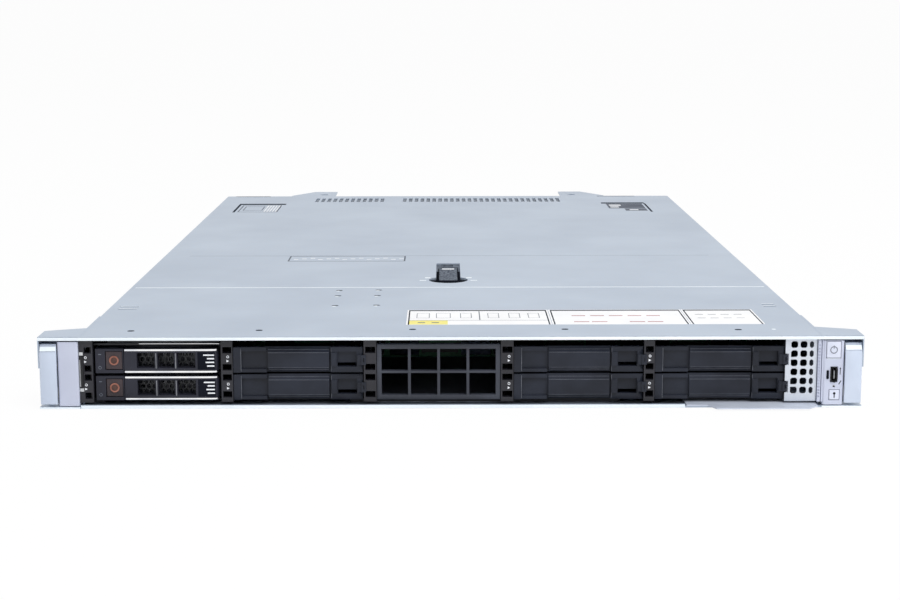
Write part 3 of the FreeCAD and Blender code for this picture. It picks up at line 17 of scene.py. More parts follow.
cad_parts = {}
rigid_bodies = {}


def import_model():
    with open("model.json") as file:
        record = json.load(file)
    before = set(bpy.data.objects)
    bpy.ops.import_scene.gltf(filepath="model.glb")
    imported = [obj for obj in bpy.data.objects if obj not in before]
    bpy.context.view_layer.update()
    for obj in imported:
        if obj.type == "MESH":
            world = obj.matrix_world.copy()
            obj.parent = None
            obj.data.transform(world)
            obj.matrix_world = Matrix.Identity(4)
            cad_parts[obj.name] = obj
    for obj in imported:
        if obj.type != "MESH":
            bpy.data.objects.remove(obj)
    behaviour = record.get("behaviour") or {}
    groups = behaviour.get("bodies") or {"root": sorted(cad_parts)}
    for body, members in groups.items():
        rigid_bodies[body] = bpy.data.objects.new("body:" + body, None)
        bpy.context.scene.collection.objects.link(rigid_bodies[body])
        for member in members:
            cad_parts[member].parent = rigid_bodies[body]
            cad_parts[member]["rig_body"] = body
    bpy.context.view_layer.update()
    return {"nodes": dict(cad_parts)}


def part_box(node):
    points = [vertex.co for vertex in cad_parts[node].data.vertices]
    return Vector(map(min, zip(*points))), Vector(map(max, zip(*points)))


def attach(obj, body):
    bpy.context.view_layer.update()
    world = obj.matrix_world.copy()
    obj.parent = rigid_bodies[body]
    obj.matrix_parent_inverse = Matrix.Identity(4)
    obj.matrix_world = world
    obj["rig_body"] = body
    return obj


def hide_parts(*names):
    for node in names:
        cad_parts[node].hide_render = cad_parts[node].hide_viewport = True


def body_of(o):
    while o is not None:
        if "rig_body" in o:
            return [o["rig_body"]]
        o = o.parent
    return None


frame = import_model()

bl_info = {
    "name": "Rack server finish",
    "version": (1, 0, 0),
    "blender": (4, 5, 0),
    "location": "3D View > Sidebar > Server",
    "description": "Finishes, trim and marks for a one-unit rack server",
    "category": "Object",
}

MM = 0.001
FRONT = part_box("left_ear_bracket")[0].y / MM
CHASSIS = "chassis"
COVER = "cover"


# ---------------------------------------------------------------- places on the server

def edges_of(node):
    """Lowest and highest corner of a solid in millimetres, Y from the front of the ears."""
    low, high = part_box(node)
    shift = Vector((0, FRONT, 0))
    return low / MM - shift, high / MM - shift


def placed(points):
    """Millimetre points with Y from the ears' front, as metres in the frame of the solids."""
    moved = np.array(points, float)
    moved[..., 1] += FRONT
    return moved * MM


# ---------------------------------------------------------------- shapes

def outline(wide, tall, radius, steps=4):
    """A rounded rectangle about the origin: each corner is a quarter circle of the radius."""
    turn = np.linspace(0, math.pi / 2, steps)
    quarter = np.stack([np.cos(turn), np.sin(turn)], axis=1) * radius
    sides = []
    for index, (sx, sy) in enumerate(((1, 1), (-1, 1), (-1, -1), (1, -1))):
        angle = index * math.pi / 2
        spin = np.array([[math.cos(angle), math.sin(angle)], [-math.sin(angle), math.cos(angle)]])
        sides.append(quarter @ spin + np.array([sx * (wide / 2 - radius), sy * (tall / 2 - radius)]))
    return np.concatenate(sides)


def circle(radius, steps=24):
    """Points at equal angles on a circle about the origin."""
    angle = np.linspace(0, 2 * math.pi, steps, endpoint=False)
    return np.stack([np.cos(angle), np.sin(angle)], axis=1) * radius


def loft(rings, closed=False):
    """Faces through rings of equal count: each ring is joined to the next, and the ends are capped,
    or the last ring is joined to the first when closed."""
    count, sides = rings.shape[:2]
    index = np.arange(count * sides).reshape(count, sides)
    if closed:
        index = np.concatenate([index, index[:1]])
    ahead = np.roll(index, -1, axis=1)
    quads = np.stack([index[:-1], ahead[:-1], ahead[1:], index[1:]], axis=-1).reshape(-1, 4).tolist()
    if not closed:
        quads += [index[0, ::-1].tolist(), index[-1].tolist()]
    return rings.reshape(-1, 3), quads


def standing(flat, depth):
    """A flat outline in X and Z set at a depth Y."""
    return np.stack([flat[:, 0], np.full(len(flat), depth), flat[:, 1]], axis=1)


def lying(flat, height):
    """A flat outline in X and Y set at a height Z."""
    return np.stack([flat[:, 0], flat[:, 1], np.full(len(flat), height)], axis=1)


def button_form(flat, centre, back, front, edge, pose=standing):
    """A raised plate: the outline at the back, and again near the front, where it draws in by the
    edge on a quarter circle."""
    turn = np.linspace(0, math.pi / 2, 4)
    sign = 1 if front > back else -1
    reach = np.abs(flat).max()
    rings = [pose(flat, back)]
    for angle in turn:
        shrink = 1 - edge * (1 - math.cos(angle)) / reach
        rings.append(pose(flat * shrink, front - sign * edge * (1 - math.sin(angle))))
    return loft(np.stack(rings) + np.array(centre, float))


def ring_form(radius, thick, centre, pose=standing, steps=40):
    """A torus: a small circle of half the thickness carried round a large one."""
    small = circle(thick / 2, 10)
    rings = np.stack([pose(circle(radius + x, steps), y) for x, y in small])
    return loft(rings + np.array(centre, float), closed=True)


def tiles(boxes):
    """Thin closed boxes, one for each (x0, x1, y0, y1, z0, z1): eight corners and six faces."""
    limits = np.array(boxes, float).reshape(-1, 3, 2)
    pick = np.array([[i >> 2 & 1, i >> 1 & 1, i & 1] for i in range(8)])
    points = np.stack([limits[:, axis, pick[:, axis]] for axis in range(3)], axis=-1).reshape(-1, 3)
    corner = np.array([[0, 1, 3, 2], [4, 6, 7, 5], [0, 4, 5, 1], [2, 3, 7, 6], [0, 2, 6, 4], [1, 5, 7, 3]])
    faces = (corner[None] + 8 * np.arange(len(limits))[:, None, None]).reshape(-1, 4)
    return points, faces.tolist()


def swept(profile, path, up):
    """A profile carried along a path: at each point it stands square to the path, its second
    axis along up."""
    path = np.array(path, float)
    along = np.gradient(path, axis=0)
    along /= np.linalg.norm(along, axis=1, keepdims=True)
    up = np.array(up, float)
    side = np.cross(along, up)
    side /= np.linalg.norm(side, axis=1, keepdims=True)
    rings = path[:, None] + profile[None, :, :1] * side[:, None] + profile[None, :, 1:] * up
    return loft(rings)


def joined(*forms):
    """Several shapes as one: their points in a row, and their faces counted on."""
    points, faces, start = [], [], 0
    for some, sides in forms:
        points.append(some)
        faces += [[start + corner for corner in face] for face in sides]
        start += len(some)
    return np.concatenate(points), faces


def piece(name, form, material, body, smooth=False):
    """One object of the server: its shape in place, its faces outward, its finish and its body."""
    points, faces = form
    mesh = bpy.data.meshes.new(name)
    mesh.from_pydata(placed(points).tolist(), [], faces)
    work = bmesh.new()
    work.from_mesh(mesh)
    bmesh.ops.recalc_face_normals(work, faces=work.faces)
    work.to_mesh(mesh)
    work.free()
    mesh.materials.append(finish_of(material))
    item = bpy.data.objects.new(name, mesh)
    bpy.context.scene.collection.objects.link(item)
    if smooth:
        mesh.shade_smooth()
        mesh.set_sharp_from_angle(angle=math.radians(40))
    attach(item, body)
    return item


# ---------------------------------------------------------------- finishes

def linear(colour):
    """An sRGB hex colour as linear red, green, blue and alpha."""
    parts = [int(colour[i:i + 2], 16) / 255 for i in (1, 3, 5)]
    return [c / 12.92 if c <= 0.04045 else ((c + 0.055) / 1.055) ** 2.4 for c in parts] + [1.0]


def node(tree, kind, inputs=None, **settings):
    """Add a node, set its properties, and fill its inputs with values or with other outputs."""
    made = tree.nodes.new("ShaderNode" + kind)
    for key, value in settings.items():
        setattr(made, key, value)
    for key, value in (inputs or {}).items():
        if isinstance(value, bpy.types.NodeSocket):
            tree.links.new(value, made.inputs[key])
        else:
            made.inputs[key].default_value = value
    return made


def blank_material(name):
    """A material with a bare surface shader, its tree and its place coordinates in metres."""
    material = bpy.data.materials.new(name)
    material.use_nodes = True
    tree = material.node_tree
    shader = tree.nodes["Principled BSDF"]
    place = node(tree, "TexCoord").outputs["Object"]
    return material, tree, shader, place


def scale_for(size):
    """The texture scale that gives a pattern of this size in millimetres on metre coordinates."""
    return 1 / (size * MM)


def speckled(tree, place, dark, light, size, spread=(0.35, 0.65), detail=3.0):
    """Two colours mixed by soft noise of one grain size."""
    noise = node(tree, "TexNoise", {"Vector": place, "Scale": scale_for(size), "Detail": detail})
    ramp = node(tree, "ValToRGB", {"Fac": noise.outputs["Fac"]})
    for stop, at, colour in zip(ramp.color_ramp.elements, spread, (dark, light)):
        stop.position = at
        stop.color = linear(colour)
    return noise.outputs["Fac"], ramp.outputs["Color"]


def grained(tree, shader, place, size, depth, stretch=(1, 1, 1)):
    """A fine bump of one grain size and depth in millimetres on the surface."""
    room = node(tree, "Mapping", {"Vector": place, "Scale": stretch})
    noise = node(tree, "TexNoise", {"Vector": room.outputs[0], "Scale": scale_for(size), "Detail": 4.0})
    bump = node(tree, "Bump", {"Height": noise.outputs["Fac"], "Strength": 1.0, "Distance": depth * MM})
    tree.links.new(bump.outputs["Normal"], shader.inputs["Normal"])
    return bump


def sheet_steel(name, dark, light, rough=0.42, metallic=0.55):
    """Hot-dip zinc on cold-rolled sheet: a faint cloud of crystals, drawn a little coarser than the
    real 1 mm grain so that it shows, and a satin gloss that changes from crystal to crystal."""
    cloud_size, crystal_size = 70, 2.2
    darkest, lightest = 0.96, 1.04
    material, tree, shader, place = blank_material(name)
    colour = speckled(tree, place, dark, light, cloud_size, (0.3, 0.7))[1]
    crystals = node(tree, "TexVoronoi", {"Vector": place, "Scale": scale_for(crystal_size)})
    grey = node(tree, "RGBToBW", {"Color": crystals.outputs["Color"]})
    level = node(tree, "MapRange", {"Value": grey.outputs["Val"], "To Min": darkest, "To Max": lightest})
    shade = node(tree, "VectorMath", {0: colour, "Scale": level.outputs["Result"]}, operation="SCALE")
    tree.links.new(shade.outputs["Vector"], shader.inputs["Base Color"])
    gloss = node(tree, "MapRange", {"Value": grey.outputs["Val"], "To Min": rough - 0.05,
                                    "To Max": rough + 0.06})
    tree.links.new(gloss.outputs["Result"], shader.inputs["Roughness"])
    shader.inputs["Metallic"].default_value = metallic
    grained(tree, shader, place, size=1.2, depth=0.012, stretch=(1, 0.2, 1))
    return material


def moulding(name, dark, light, rough, grain=0.5, depth=0.03, patch=30, ribs=0.0, shine=0.5):
    """A moulded polymer: even colour with a slight cloud, and the fine spark-eroded grain of its
    mould.  Ribs, when given, add faint lines along it that repeat every pi times as many millimetres,
    and a low shine keeps a dark face dark when it is seen at a slant."""
    rib_depth = 0.05
    material, tree, shader, place = blank_material(name)
    shader.inputs["Specular IOR Level"].default_value = shine
    cloud, colour = speckled(tree, place, dark, light, patch)
    tree.links.new(colour, shader.inputs["Base Color"])
    gloss = node(tree, "MapRange", {"Value": cloud, "To Min": rough - 0.06, "To Max": rough + 0.06})
    tree.links.new(gloss.outputs["Result"], shader.inputs["Roughness"])
    bump = grained(tree, shader, place, grain, depth)
    if ribs:
        wave = node(tree, "TexWave", {"Vector": place, "Scale": scale_for(ribs) / 10, "Distortion": 0.4},
                    wave_type="BANDS", bands_direction="Z")
        lines = node(tree, "Bump", {"Height": wave.outputs["Fac"], "Distance": rib_depth * MM,
                                    "Normal": bump.outputs["Normal"]})
        tree.links.new(lines.outputs["Normal"], shader.inputs["Normal"])
    return material


def metal(name, dark, light, rough, grain=0.8, depth=0.01, stretch=(1, 1, 1)):
    """A bare or plated metal: full metallic, satin, with the grain of how it was worked."""
    cloud_size = 12
    material, tree, shader, place = blank_material(name)
    cloud, colour = speckled(tree, place, dark, light, cloud_size)
    tree.links.new(colour, shader.inputs["Base Color"])
    gloss = node(tree, "MapRange", {"Value": cloud, "To Min": rough - 0.05, "To Max": rough + 0.08})
    tree.links.new(gloss.outputs["Result"], shader.inputs["Roughness"])
    shader.inputs["Metallic"].default_value = 1.0
    grained(tree, shader, place, grain, depth, stretch)
    return material


def circuit_board(name, mask, copper):
    """Glass-epoxy board: glossy green solder mask with the paler lines of copper under it."""
    cell = 6
    material, tree, shader, place = blank_material(name)
    cells = node(tree, "TexVoronoi", {"Vector": place, "Scale": scale_for(cell)}, distance="MANHATTAN",
                 feature="F1")
    lines = node(tree, "ValToRGB", {"Fac": cells.outputs["Distance"]})
    for stop, at, colour in zip(lines.color_ramp.elements, (0.48, 0.52), (mask, copper)):
        stop.position = at
        stop.color = linear(colour)
    tree.links.new(lines.outputs["Color"], shader.inputs["Base Color"])
    shader.inputs["Roughness"].default_value = 0.35
    grained(tree, shader, place, size=2.0, depth=0.02)
    return material


def clear_moulding(name, colour):
    """Acrylic light pipe: water-clear with a faint tint, smooth and glossy."""
    material, tree, shader, place = blank_material(name)
    shader.inputs["Base Color"].default_value = linear(colour)
    shader.inputs["Roughness"].default_value = 0.15
    shader.inputs["IOR"].default_value = 1.49
    shader.inputs["Transmission Weight"].default_value = 0.35
    grained(tree, shader, place, size=3.0, depth=0.02)
    return material


# Each material by name. After its two colours come its roughness, and then in millimetres the size and
# depth of its grain and, for a moulding, the size of its cloud.  A metal ends with its grain's stretch.
FINISHES = {
    # Zinc on sheet: pale blue-grey and satin, with a faint cloud of crystals.
    "galvanised_sheet_steel": lambda n: sheet_steel(n, "#AEBACA", "#B9C5D4"),
    "zinc_plated_bracket": lambda n: sheet_steel(n, "#CDD3DD", "#D9DEE7", 0.36),
    # Bare and plated metal: bright, with the streaks or grain of how it was rolled, cast, drawn or turned.
    # Bright trim on the handles' rails, and a painted highlight on the cage's bar.
    "bright_rolled_edge": lambda n: metal(n, "#E6E8EE", "#FFFFFF", 0.22, 1.0, 0.004, (0.1, 1, 1)),
    "nickel_plated_shell": lambda n: metal(n, "#A9ADB2", "#C9CCD0", 0.3),
    "die_cast_aluminium": lambda n: metal(n, "#8E9196", "#A8ABB0", 0.5, 0.6, 0.03),
    "extruded_aluminium": lambda n: metal(n, "#B8BABF", "#D2D4D8", 0.35, 0.8, 0.01, (1, 0.1, 1)),
    "turned_steel_stud": lambda n: metal(n, "#9A9DA2", "#B5B8BC", 0.3),
    # Dark coats and mouldings: from graphite grey to near black, with a soft gloss at most.
    "black_coated_steel": lambda n: moulding(n, "#1B1B21", "#26262D", 0.5, 0.7, 0.02),
    "charcoal_glass_filled_nylon": lambda n: moulding(n, "#1C1F28", "#272B36", 0.48, 0.6, 0.03, 24,
                                                       ribs=1.4, shine=0.28),
    "charcoal_grid_moulding": lambda n: moulding(n, "#353841", "#41454F", 0.5, 0.6, 0.03, shine=0.4),
    "black_carrier_moulding": lambda n: moulding(n, "#21222B", "#2C2D38", 0.42, 0.5, 0.02, shine=0.28),
    # A painted highlight along the ribs and ends of the drive blanks.
    "worn_charcoal_edge": lambda n: moulding(n, "#565962", "#6A6D76", 0.4, 0.4, 0.01, 6),
    # Black rubber at the port's rim, and painted shade in the gaps beside the levers and the light column.
    "black_rubber_seal": lambda n: moulding(n, "#101013", "#18181C", 0.7, 0.5, 0.01),
    "black_abs": lambda n: moulding(n, "#17181B", "#232428", 0.45),
    "black_connector_resin": lambda n: moulding(n, "#141416", "#202024", 0.4),
    "smoked_button_moulding": lambda n: moulding(n, "#352E31", "#443A3D", 0.35, 0.5, 0.01, shine=0.3),
    "graphite_latch_moulding": lambda n: moulding(n, "#4C525D", "#868D98", 0.6, 1.0, 0.2, 1.6, shine=0.0),
    "graphite_cup_moulding": lambda n: moulding(n, "#5C636E", "#7A818C", 0.6, 0.8, 0.04, 6, shine=0.0),
    # Painted and coloured mouldings: silver at the ears, grey at the tag, red-brown at the back.
    "silver_painted_abs": lambda n: moulding(n, "#BDC2D4", "#C9CEDF", 0.42, 0.45, 0.015, 40),
    "silver_painted_lever": lambda n: moulding(n, "#BFC9DA", "#CFD8E7", 0.38, 0.45, 0.012, 40),
    "silver_painted_key": lambda n: moulding(n, "#CBD0E0", "#D9DDEB", 0.35, 0.4, 0.01, 20),
    "grey_tag_moulding": lambda n: moulding(n, "#B9C0CF", "#CBD2E0", 0.4, 0.5, 0.01, 30),
    "terracotta_nylon": lambda n: moulding(n, "#A5472A", "#BC5A38", 0.45),
    # Mesh, lacquer, lenses and light pipes: small parts with a grey, copper or clear glint.
    "grey_gauze": lambda n: moulding(n, "#8C949F", "#A4ABB6", 0.5, 0.4, 0.005, 5),
    "blackened_mesh": lambda n: moulding(n, "#24252A", "#3A3C42", 0.35, 0.3, 0.01, 3),
    "copper_lacquer": lambda n: moulding(n, "#85503F", "#9C6656", 0.4, 0.3, 0.01, 4),
    "dark_copper_lens": lambda n: moulding(n, "#43302C", "#573D36", 0.3, 0.3, 0.01, 3, shine=0.3),
    "acrylic_light_pipe": lambda n: clear_moulding(n, "#F4F6F8"),
    # Painted highlights on edges, bends, rivets, dents and glints, and painted shade along a crease.
    "pressed_edge_highlight": lambda n: moulding(n, "#E6EFF6", "#F4FAFF", 0.35, 0.5, 0.002, 40),
    "pressed_crease": lambda n: moulding(n, "#8C98A6", "#98A4B1", 0.45, 0.5, 0.002, 40, shine=0.3),
    # Boards: glossy green over paler copper.
    "green_solder_mask": lambda n: circuit_board(n, "#0F4A2E", "#1B6A42"),
    "dark_module_board": lambda n: circuit_board(n, "#0C3A26", "#145236"),
    # Labels, films and prints: flat and even, and the darker ones without any gloss.
    "white_polyester_label": lambda n: moulding(n, "#F2F2F4", "#FAFAFB", 0.35, 0.3, 0.003),
    "yellow_label_film": lambda n: moulding(n, "#E9DC5C", "#F4E97A", 0.4, 0.3, 0.003),
    # A black film for a label and marks, and painted shade in the gaps around the cover latch.
    "black_film_patch": lambda n: moulding(n, "#14161C", "#1E2028", 0.5, 0.4, 0.003, shine=0.0),
    # Dark print on the labels and the cover, and painted shade behind the panel's rivets and in its holes.
    "dark_screen_print": lambda n: moulding(n, "#2A303A", "#3A414C", 0.6, 0.3, 0.003, shine=0.0),
    "grey_screen_print": lambda n: moulding(n, "#6A6F79", "#7E838D", 0.6, 0.3, 0.003, shine=0.0),
    "pale_screen_print": lambda n: moulding(n, "#E4E8EE", "#F4F6FA", 0.5, 0.3, 0.003),
    "red_screen_print": lambda n: moulding(n, "#A86A70", "#BC8088", 0.6, 0.3, 0.003, shine=0.0),
}


def finish_of(name):
    """The named material, made once."""
    return bpy.data.materials.get(name) or FINISHES[name](name)


# Each finish, with the nodes that are made of it.
NODE_FINISH = {
    "galvanised_sheet_steel": ["chassis_tray", "rear_wall", "front_top_panel", "top_cover", "slot_fillers",
                               "fan_wall", "left_ear_bracket", "right_ear_bracket"],
    "zinc_plated_bracket": ["front_vent_panel"],
    "nickel_plated_shell": ["network_card", "rear_ports"],
    "black_coated_steel": ["drive_cage", "left_light_column"],
    "graphite_latch_moulding": ["cover_latch"],
    "graphite_cup_moulding": ["cover_latch_housing"],
    "green_solder_mask": ["drive_backplane", "system_board", "riser_card"],
    "dark_module_board": ["memory_modules"],
    "black_connector_resin": ["drive_connectors", "memory_sockets", "processor_sockets"],
    "black_carrier_moulding": ["carrier_1_frame", "carrier_2_frame", "carrier_1_handle", "carrier_2_handle"],
    "smoked_button_moulding": ["carrier_1_button", "carrier_2_button"],
    "die_cast_aluminium": ["drive_1", "drive_2"],
    "charcoal_grid_moulding": ["centre_blank"],
    "silver_painted_abs": ["left_control_panel", "right_control_panel"],
    "silver_painted_lever": ["left_latch_lever", "right_latch_lever"],
    "silver_painted_key": ["power_button", "id_button"],
    "acrylic_light_pipe": ["light_pipes"],
    "grey_tag_moulding": ["information_tag"],
    "black_abs": ["fan_housings", "air_shroud", "usb_c_port"] + [f"fan_rotor_{i}" for i in range(1, 7)],
    "extruded_aluminium": ["heat_sinks", "power_supply_1", "power_supply_2"],
    "terracotta_nylon": ["supply_latch_1", "supply_latch_2"],
    "turned_steel_stud": ["rail_studs"],
    "charcoal_glass_filled_nylon": [f"drive_blank_{bay}_{row}" for bay in "bde"
                                    for row in ("lower", "upper")],
}


# ---------------------------------------------------------------- what a user may change

class ServerSizes(bpy.types.PropertyGroup):
    """Sizes of the trim, in millimetres."""
    edge_radius: FloatProperty(name="Edge radius", description="Rounding of moulded edges", default=0.25,
                               min=0.05, max=0.6)
    rail_thick: FloatProperty(name="Rail", description="Thickness of the bright rails on a handle",
                              default=1.15, min=0.5, max=2.0)
    mesh_cell: FloatProperty(name="Mesh cell", description="Width across a cell of the honeycomb mesh",
                             default=3.4, min=2.0, max=6.0)
    film: FloatProperty(name="Film", description="Thickness of labels and printed marks", default=0.05,
                        min=0.01, max=0.2)
    print_line: FloatProperty(name="Printed line", description="Width of a printed line", default=0.8,
                              min=0.2, max=2.0)


class ServerLook(bpy.types.PropertyGroup):
    """Light and floor."""
    key_power: FloatProperty(name="Key light", description="Power of the soft light in front", default=42,
                             min=0, unit="POWER")
    top_power: FloatProperty(name="Top light", description="Power of the soft light above", default=10,
                             min=0, unit="POWER")
    sky: FloatProperty(name="Sky", description="Strength of the even light from all round", default=0.42,
                       min=0, max=2)
    floor_colour: StringProperty(name="Floor", description="Colour of the floor as hex", default="#FEFEFF")
    lens: FloatProperty(name="Lens", description="Focal length of the camera", default=70, min=20, max=200)


# ---------------------------------------------------------------- operators

class SERVER_OT_finish_solids(bpy.types.Operator):
    """Give every solid of the server its material"""
    bl_idname = "server.finish_solids"
    bl_label = "Finish the solids"

    def execute(self, context):
        for material, names in NODE_FINISH.items():
            for name in names:
                mesh = frame["nodes"][name].data
                mesh.materials.clear()
                mesh.materials.append(finish_of(material))
        bare = [name for name, item in frame["nodes"].items() if not item.data.materials]
        if bare:
            raise RuntimeError(f"no finish for {bare}")
        return {"FINISHED"}


def draw_in_tab(mesh, start):
    """Past the start in millimetres, each point goes back by a share of its way beyond it, so that a
    tab to the right keeps less than half its length."""
    share = 0.55
    points = np.empty(3 * len(mesh.vertices), np.float32)
    mesh.vertices.foreach_get("co", points)
    along = points[::3].astype(float)
    points[::3] = along - share * np.maximum(0.0, along - start * MM)
    mesh.vertices.foreach_set("co", points)
    mesh.update()


def softened(name, radius, tab_from=None):
    """A copy of a solid with its edges rounded, in the solid's place, and its tab drawn in past
    tab_from when that is given."""
    source = frame["nodes"][name]
    mesh = bpy.data.meshes.new(name + "_soft")
    work = bmesh.new()
    work.from_mesh(source.data)
    bmesh.ops.remove_doubles(work, verts=work.verts, dist=0.002 * MM)
    bmesh.ops.dissolve_limit(work, angle_limit=math.radians(1), verts=work.verts, edges=work.edges)
    bmesh.ops.connect_verts_concave(work, faces=work.faces)
    work.to_mesh(mesh)
    work.free()
    if tab_from is not None:
        draw_in_tab(mesh, tab_from)
    mesh.materials.append(source.data.materials[0])
    item = bpy.data.objects.new(name + "_soft", mesh)
    bpy.context.scene.collection.objects.link(item)
    mesh.shade_smooth()
    bevel = item.modifiers.new("edges", "BEVEL")
    bevel.width = radius * MM
    bevel.segments = 2
    bevel.limit_method = "ANGLE"
    bevel.angle_limit = math.radians(35)
    bevel.harden_normals = True
    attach(item, body_of(source)[0])
    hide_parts(name)
    return item


class SERVER_OT_soften_mouldings(bpy.types.Operator):
    """Round the edges of the mouldings that catch the light at the front"""
    bl_idname = "server.soften_mouldings"
    bl_label = "Soften the mouldings"

    def execute(self, context):
        radius = context.scene.server_sizes.edge_radius
        names = ["centre_blank", "cover_latch", "left_latch_lever", "right_latch_lever", "power_button",
                 "id_button", "carrier_1_handle", "carrier_2_handle", "carrier_1_button", "carrier_2_button"]
        for name in names:
            softened(name, radius)
        tab_root = 75.9
        for name in NODE_FINISH["charcoal_glass_filled_nylon"]:
            softened(name, radius, edges_of(name)[0].x + tab_root)
        return {"FINISHED"}


def handle_rails(number, thick):
    """The bright rails along the top and bottom of a handle: a half-round carried along its front
    and round its hinged end."""
    low, high = edges_of(f"carrier_{number}_handle")
    hinge_radius = 3.0
    bend_radius = hinge_radius - 0.2
    proud, from_edge = 0.02, 0.1
    pivot_x, pivot_y = high.x - hinge_radius, low.y + hinge_radius
    bend = np.linspace(0.1, math.pi / 3, 7)
    straight = np.linspace(low.x + 0.4, pivot_x, 12, endpoint=False)
    path_x = np.concatenate([straight, pivot_x + bend_radius * np.sin(bend)])
    path_y = np.concatenate([np.full(len(straight), low.y - proud), pivot_y - bend_radius * np.cos(bend)])
    profile = outline(0.5, thick, 0.2, 3)
    forms = []
    for height in (low.z + thick / 2 + from_edge, high.z - thick / 2 - from_edge):
        path = np.stack([path_x, path_y, np.full(len(path_x), height)], axis=1)
        forms.append(swept(profile, path, (0, 0, 1)))
    return joined(*forms)


def honeycomb(left, right, low, high, depth, cell):
    """A woven honeycomb: hexagon rings on a staggered grid, each a thin wall between an outer and
    an inner hexagon."""
    inner, deep = 0.84, 0.5
    overhang = cell * 0.2
    columns = np.arange(left + cell / 2, right, cell)
    pitch = cell * math.sqrt(3) / 2
    angle = np.radians(np.arange(30, 390, 60))
    hexagon = np.stack([np.cos(angle), np.sin(angle)], axis=1) * cell / math.sqrt(3)
    forms = []
    for row_index, height in enumerate(np.arange(low + pitch / 2, high, pitch)):
        for x in columns + (row_index % 2) * cell / 2:
            if x > right - overhang:
                continue
            rings = [standing(hexagon * size, depth + back) for size, back in
                     ((1.0, deep), (1.0, 0.0), (inner, 0.0), (inner, deep))]
            forms.append(loft(np.stack(rings) + np.array([x, 0, height]), closed=True))
    return joined(*forms)


def window_bars(low, high):
    """Two thin uprights across the windows of a handle."""
    half, from_rail = 0.18, 2.6
    return tiles([(x - half, x + half, low.y - 0.1, low.y + 0.3, low.z + from_rail, high.z - from_rail)
                  for x in (low.x + 18.7, low.x + 30.2)])


def patch_strokes(right, face, middle, film):
    """Four plain strokes of different lengths, one under the other, that end at the right."""
    half = 0.4
    lengths_and_heights = ((6.4, 3.4), (4.2, 1.3), (5.0, -0.9), (4.2, -3.1))
    return tiles([(right - long, right, face - film, face, middle + up - half, middle + up + half)
                  for long, up in lengths_and_heights])


def carrier_marks(number, low, high, film):
    """A small ring and a dash on the corner of a carrier's frame, beside its handle."""
    block = edges_of(f"carrier_{number}_frame")[0]
    ring = ring_form(0.8, 0.25, (block.x + 2.6, block.y, low.z + 3.2))
    dash = tiles([(block.x + 1.8, block.x + 3.4, block.y - film, block.y + 0.05,
                   high.z - 3.4, high.z - 3.0)])
    return joined(ring, dash)


class SERVER_OT_trim_carriers(bpy.types.Operator):
    """Bright rails, lacquered rings, mesh and film patches of the two drive carriers"""
    bl_idname = "server.trim_carriers"
    bl_label = "Trim the drive carriers"

    def execute(self, context):
        sizes = context.scene.server_sizes
        for number in (1, 2):
            handle, carrier, release = f"handle_{number}", f"carrier_{number}", f"release_{number}"
            low, high = edges_of(f"carrier_{number}_handle")
            face = low.y - 0.05
            middle_z = (low.z + high.z) / 2
            piece(f"handle_{number}_rails", handle_rails(number, sizes.rail_thick), "bright_rolled_edge",
                  handle, True)
            net = honeycomb(low.x + 6, low.x + 44, low.z + 2.2, high.z - 2.2, low.y + 8, sizes.mesh_cell)
            piece(f"carrier_{number}_mesh", net, "blackened_mesh", carrier)
            piece(f"handle_{number}_bars", window_bars(low, high), "die_cast_aluminium", handle)
            patch = button_form(outline(10.4, 10.4, 0.4), (low.x + 48.2, 0, middle_z), low.y, face, 0.03)
            piece(f"handle_{number}_patch", patch, "black_film_patch", handle)
            strokes = patch_strokes(low.x + 52.8, face, middle_z, sizes.film)
            piece(f"handle_{number}_strokes", strokes, "pale_screen_print", handle)
            piece(f"carrier_{number}_marks", carrier_marks(number, low, high, sizes.film),
                  "grey_screen_print", carrier)
            button_low, button_high = edges_of(f"carrier_{number}_button")
            x, z = (button_low.x + button_high.x) / 2, (button_low.z + button_high.z) / 2
            piece(f"button_{number}_ring", ring_form(2.35, 1.1, (x, button_low.y + 0.2, z)),
                  "copper_lacquer", release, True)
            lens = button_form(circle(2.05), (x, 0, z), button_low.y + 0.5, button_low.y - 0.1, 0.05)
            piece(f"button_{number}_lens", lens, "dark_copper_lens", release, True)
        return {"FINISHED"}


def framed(x0, x1, y0, y1, line):
    """The four sides of a printed frame, as (x0, x1, y0, y1) strips."""
    return [(x0, x1, y1 - line, y1), (x0, x1, y0, y0 + line), (x0, x0 + line, y0 + line, y1 - line),
            (x1 - line, x1, y0 + line, y1 - line)]


def flat_on(strips, base, film):
    """Strips as thin closed boxes lying on a sheet at the base height."""
    return tiles([(x0, x1, y0, y1, base, base + film) for x0, x1, y0, y1 in strips])


def lay(name, strips, base, thick, material, body=CHASSIS):
    """Strips laid on a sheet as one piece of the panel or the cover."""
    piece(name, flat_on(strips, base, thick), material, body)


